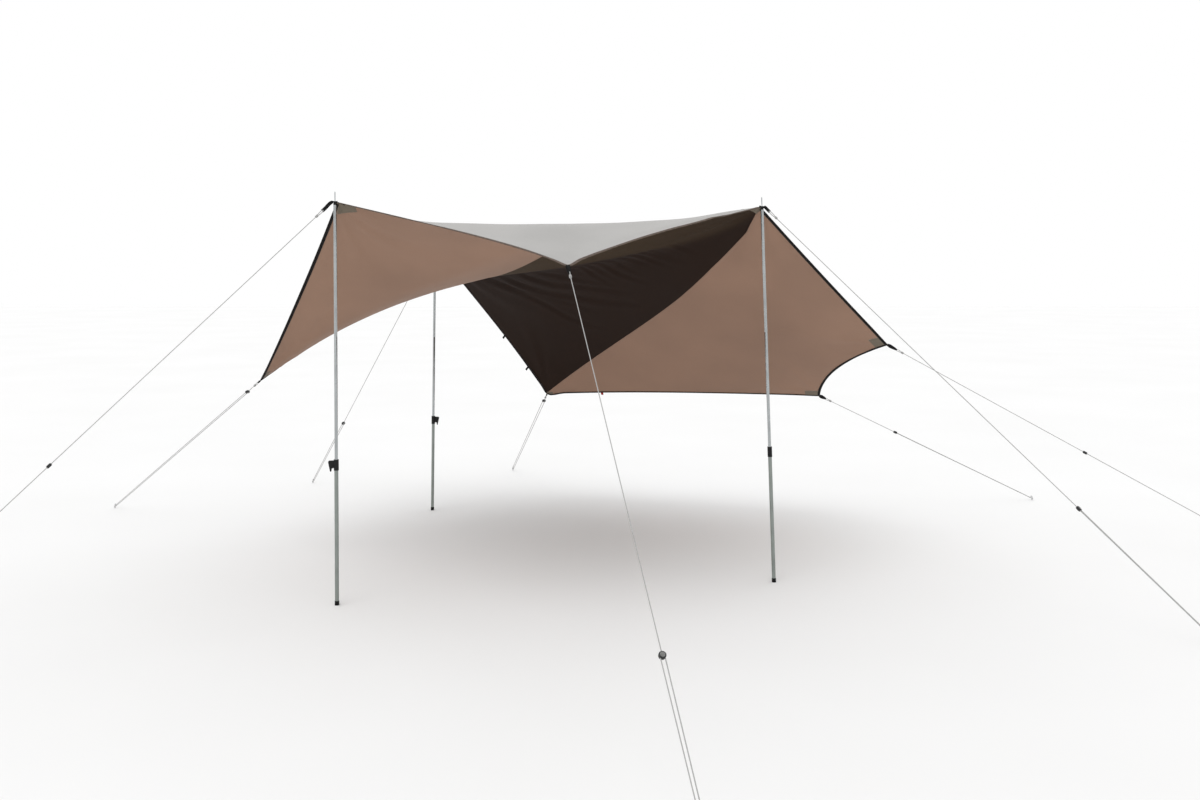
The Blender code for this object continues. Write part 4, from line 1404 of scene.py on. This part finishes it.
def eyelet_profile():
    middle_radius, half_band = (EYELET_INNER + EYELET_OUTER) / 2, (EYELET_OUTER - EYELET_INNER) / 2
    profile = []
    for step in range(EYELET_STEPS):
        turn = 2 * math.pi * step / EYELET_STEPS
        profile.append((middle_radius + half_band * math.cos(turn), EYELET_THICK / 2 * math.sin(turn)))
    return profile


pole_lines = {}
for side, foot in FEET.items():
    base = np.array([*foot, 0.0])
    top = points[side + "_peak"]
    pole_lines[side] = (base, unit(top - base), float(np.linalg.norm(top - base)))
for side, (_, axis, _) in pole_lines.items():
    parts = lathe_parts(eyelet_profile(), points[side + "_peak"], axis, 24, closed=True)
    mesh = joined_mesh(side + "_peak_eyelet", [parts])
    finished_piece(side + "_peak_eyelet", mesh, (black_plastic,), "tarp")
print("eyelets on", list(pole_lines))

# %% [markdown]
# ## Guy lines
# A guy line is one taut cord: a small loop through the webbing, a knot, down
# through the runner, round the peg and back to the runner. It is made from end
# to end, because it carries the pitch. The braid is drawn by its finish on the
# sweep's map; modelled strands would need a hundred times the faces.

# %% Cords
RUNNER_INLET = 0.005
STRAND_SPREAD = 0.0080
PEG_RADIUS = 0.0030
TURN_SLACK = 0.0006
KNOT_AWAY = {"front_point": 0.016, "right_peak": 0.042}
USUAL_KNOT_AWAY = 0.030
EYE_SHAPE = ((0.006, 0.0042), (-0.004, 0.0030))
EYE_REACH = 0.0062
KNOT_ASIDE, KNOT_LENGTH, KNOT_CORD = 0.0022, 0.012, 0.0021
UPPER_STEPS, PEG_STEPS, STRAND_STEPS = 11, 12, 5
KNOT_TURNS, KNOT_PITCH, KNOT_RADIUS, KNOT_STEPS = 3.2, 0.0041, 0.0046, 63
line_frames = {}


def cord_path(place):
    """The whole cord: eye, upper strand, down to the peg, round it and back to the runner."""
    begin, _ = line_starts[place]
    turn_centre = np.array([*PEGS[place], LOOP_HEIGHT])
    along = unit(turn_centre - begin)
    side = unit(np.cross(along, [0.0, 0.0, 1.0]))
    up = np.cross(side, along)
    away = unit([along[0], along[1], 0.0])
    reach = np.linalg.norm(turn_centre - begin)
    drum = begin + along * reach * RUNNER_SHARE[place]
    knot = begin + KNOT_AWAY.get(place, USUAL_KNOT_AWAY) * along
    line_frames[place] = (along, side, up, drum, knot)
    near_side = [knot + KNOT_ASIDE * up]
    far_side = [knot - KNOT_ASIDE * up]
    for ahead, aside in EYE_SHAPE:
        near_side.append(begin + ahead * along + aside * up)
        far_side.insert(0, begin + ahead * along - aside * up)
    loop = list(smooth_path([*near_side, begin - EYE_REACH * along, *far_side], 4))
    straight = [knot + KNOT_LENGTH * along]
    inlet = drum - RUNNER_INLET * along
    for share in np.linspace(0, 1, UPPER_STEPS + 1)[1:]:
        straight.append(straight[0] + share * (inlet - straight[0]))
    turn_radius = PEG_RADIUS + CORD_RADIUS + TURN_SLACK
    turn = []
    for step in range(PEG_STEPS + 1):
        angle = math.pi * step / PEG_STEPS
        turn.append(turn_centre + turn_radius * (math.cos(angle) * side + math.sin(angle) * away))
    out = drum + RUNNER_INLET * along + STRAND_SPREAD * side
    back = drum + RUNNER_INLET * along - STRAND_SPREAD * side
    shares = np.linspace(0, 1, STRAND_STEPS + 1)
    down = [out + share * (turn[0] - out) for share in shares[:-1]]
    home = [turn[-1] + share * (back - turn[-1]) for share in shares[1:]]
    return np.array(loop + straight + down + turn + home), side


def wrapped_knot(place):
    """Three close turns of cord round the line."""
    along, side, up, _, knot = line_frames[place]
    path = []
    for step in range(KNOT_STEPS + 1):
        turned = KNOT_TURNS * step / KNOT_STEPS
        angle = 2 * math.pi * turned
        around = math.cos(angle) * side + math.sin(angle) * up
        path.append(knot + KNOT_PITCH * turned * along + KNOT_RADIUS * around)
    path = np.array(path)
    sides, ups = steady_sides(path, up)
    return sweep_parts(path, sides, ups, round_outline(KNOT_CORD, 8))


cords = []
for place in POINTS:
    path, start_side = cord_path(place)
    sides, ups = steady_sides(path, start_side)
    mesh = swept_mesh(place + "_line", [
        sweep_parts(path, sides, ups, round_outline(CORD_RADIUS)), wrapped_knot(place)])
    cords.append(finished_piece(
        place + "_line", mesh, (guy_cord,), "tarp", replaces=(place + "_cord",), sharp=70.0))
print(len(cords), "guy lines")

# %% [markdown]
# ## Runners and pegs
# The runner is a small round drum: the line enters at the top and two strands
# leave below, so a pull pinches it. The solid model has its channels already,
# so its merged copy is kept, with soft shading and a pale inlaid face. Pegs
# are bent wire and are treated the same way.

# %% Smooth copies of frame parts
WELD = 0.00001


def smooth_copy(node_name, finish, body, sharp):
    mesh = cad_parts[node_name].data.copy()
    mesh.name = node_name + "_skin"
    mesh.materials.clear()
    shell = bmesh.new()
    shell.from_mesh(mesh)
    bmesh.ops.remove_doubles(shell, verts=shell.verts, dist=WELD)
    shell.to_mesh(mesh)
    shell.free()
    return finished_piece(node_name + "_skin", mesh, (finish,), body, (node_name,), sharp)


FACE_RADIUS = 0.0088
FACE_SHAPE = (
    (0.0, 0.0004), (0.35, 0.0008), (0.45, 0.0002), (0.85, 0.0003),
    (0.92, 0.0010), (1.0, 0.0008), (1.0, -0.0006), (0.0, -0.0006),
)
RUNNER_HALF = 0.0065
for place in POINTS:
    smooth_copy(place + "_runner", runner_plastic, "tarp", 30.0)
    smooth_copy(place + "_peg", bright_steel, "tarp", 60.0)
    _, _, up, drum, _ = line_frames[place]
    profile = [(share * FACE_RADIUS, height) for share, height in FACE_SHAPE]
    parts = [lathe_parts(profile, drum + sign * RUNNER_HALF * up, sign * up, 28) for sign in (1, -1)]
    mesh = joined_mesh(place + "_runner_face", parts)
    finished_piece(place + "_runner_face", mesh, (runner_face,), "tarp")
print(len(POINTS), "runners and pegs")

# %% [markdown]
# ## Poles
# A pole is two aluminium tubes, one inside the other, with a cam clamp that
# grips the inner one, a rubber foot and a steel spike on top. The tubes are
# turned again here with more sides than the frame needs, a rolled edge at the
# top of the lower tube, a crimped joint in the upper one and a black plug that
# holds the spike.

# %% Tubes
UPPER_RADIUS, UPPER_WALL = 0.0082, 0.0012
LOWER_RADIUS, LOWER_BORE = 0.0100, 0.0088
SPIKE_RADIUS, SPIKE_LENGTH = 0.0028, 0.052
LOWER_SHARE, UPPER_OVERLAP, JOINT_SHARE = 0.3475, 0.200, 0.665
STRAP_THICK, FOOT_FLOOR, CLEARANCE = 0.0020, 0.004, 0.0003
GROOVE = 0.0012
PLUG, PLUG_LINE = 0.0160, 0.0014
TUBE_EDGE = 0.0004


def tube_profiles(length):
    """Radius and height pairs of the lower tube and of the upper tube with its spike."""
    shoulder = length - STRAP_THICK / 2 - CLEARANCE
    tip = shoulder + SPIKE_LENGTH
    plug = shoulder - PLUG
    split = LOWER_SHARE * length
    upper_end = split - UPPER_OVERLAP
    joint = JOINT_SHARE * length
    low = FOOT_FLOOR + CLEARANCE
    edge = TUBE_EDGE
    bore = UPPER_RADIUS - UPPER_WALL
    lower = [
        (LOWER_RADIUS - edge, split), (LOWER_RADIUS, split - edge), (LOWER_RADIUS, low + edge),
        (LOWER_RADIUS - edge, low), (LOWER_BORE, low), (LOWER_BORE, split)]
    upper = [
        (0.0, tip), (SPIKE_RADIUS * 0.35, tip - 0.0004),
        (SPIKE_RADIUS * 0.75, tip - 0.0022), (SPIKE_RADIUS, tip - 0.006),
        (SPIKE_RADIUS, shoulder + 0.003), (SPIKE_RADIUS + 0.0012, shoulder + 0.0012),
        (UPPER_RADIUS - 0.0010, shoulder), (UPPER_RADIUS, shoulder - 0.0010), (UPPER_RADIUS, plug),
        (UPPER_RADIUS - edge, plug - edge), (UPPER_RADIUS - edge, plug - PLUG_LINE),
        (UPPER_RADIUS, plug - PLUG_LINE - edge), (UPPER_RADIUS, joint + 0.0012 + GROOVE),
        (UPPER_RADIUS - 0.0007, joint + GROOVE), (UPPER_RADIUS - 0.0007, joint),
        (UPPER_RADIUS, joint - 0.0012), (UPPER_RADIUS, upper_end),
        (bore, upper_end), (bore, shoulder - UPPER_WALL), (0.0, shoulder - UPPER_WALL)]
    return lower, upper


for side, (base, axis, length) in pole_lines.items():
    lower, upper = tube_profiles(length)
    leg = side + "_leg"
    mesh = joined_mesh(side + "_lower_tube", [lathe_parts(lower, base, axis, closed=True)])
    finished_piece(side + "_lower_tube", mesh, (lower_tube,), leg, (side + "_pole_lower",))
    mesh = joined_mesh(side + "_upper_tube", [lathe_parts(upper, base, axis)])
    for face in mesh.polygons:
        offset = np.array(face.center) - base
        height = float(np.dot(offset, axis))
        beside_spike = np.linalg.norm(offset - height * axis) > 1.5 * SPIKE_RADIUS
        face.material_index = 1 if beside_spike and length - PLUG - PLUG_LINE < height else 0
    finished_piece(
        side + "_upper_tube", mesh, (upper_tube, black_plastic), "tarp", (side + "_pole_upper",))
    smooth_copy(side + "_pole_clamp", black_plastic, leg, 30.0)
    smooth_copy(side + "_pole_foot", black_rubber, leg, 30.0)
    print(side, "pole", round(length, 3), "m")

# %% [markdown]
# ## Floor, light and sky
# The tarp stands on a plain pale floor under soft light. A bright, even sky
# fills the shadows under the cloth from the floor's bounce, and one wide, soft
# sun high in front gives the folds their direction. A lamp near the tarp would
# leave the floor darker further off; with a sun it is as bright as the sky
# everywhere, and no horizon shows.

# %% Floor
def floor_finish():
    finish, tree, shader = new_finish("pale_floor", 0.85)
    cloud = noise(tree, object_place(tree), 0.6, 2.0)
    tone = tone_ramp(tree, cloud, ((0.3, (0.800, 0.800, 0.798)), (0.7, (0.820, 0.820, 0.820))))
    tree.links.new(tone, shader.inputs["Base Color"])
    return finish


FLOOR_HALF = 40.0
corners = [(x * FLOOR_HALF, y * FLOOR_HALF, 0.0) for x, y in ((-1, -1), (1, -1), (1, 1), (-1, 1))]
floor_mesh = mesh_from("floor", corners, [(0, 1, 2, 3)])
floor_mesh.materials.append(floor_finish())
floor = bpy.data.objects.new("floor", floor_mesh)
scene.collection.objects.link(floor)
print("floor", 2 * FLOOR_HALF, "m wide")

# %% Light
SUN_STRENGTH, SUN_WIDTH = 0.85, 50.0
SUN_TILT = (32.0, -18.0, 0.0)
world = bpy.data.worlds.new("studio_sky")
scene.world = world
world.use_nodes = True
sky = world.node_tree.nodes["Background"]
sky.inputs["Color"].default_value = (1.0, 1.0, 1.0, 1.0)
sky.inputs["Strength"].default_value = 1.0

sun = bpy.data.lights.new("wide_sun", "SUN")
sun.energy = SUN_STRENGTH
sun.angle = math.radians(SUN_WIDTH)
sun_holder = bpy.data.objects.new("wide_sun", sun)
sun_holder.rotation_euler = [math.radians(turn) for turn in SUN_TILT]
scene.collection.objects.link(sun_holder)
scene.view_settings.view_transform = "Standard"
print("one soft sun and an even sky")
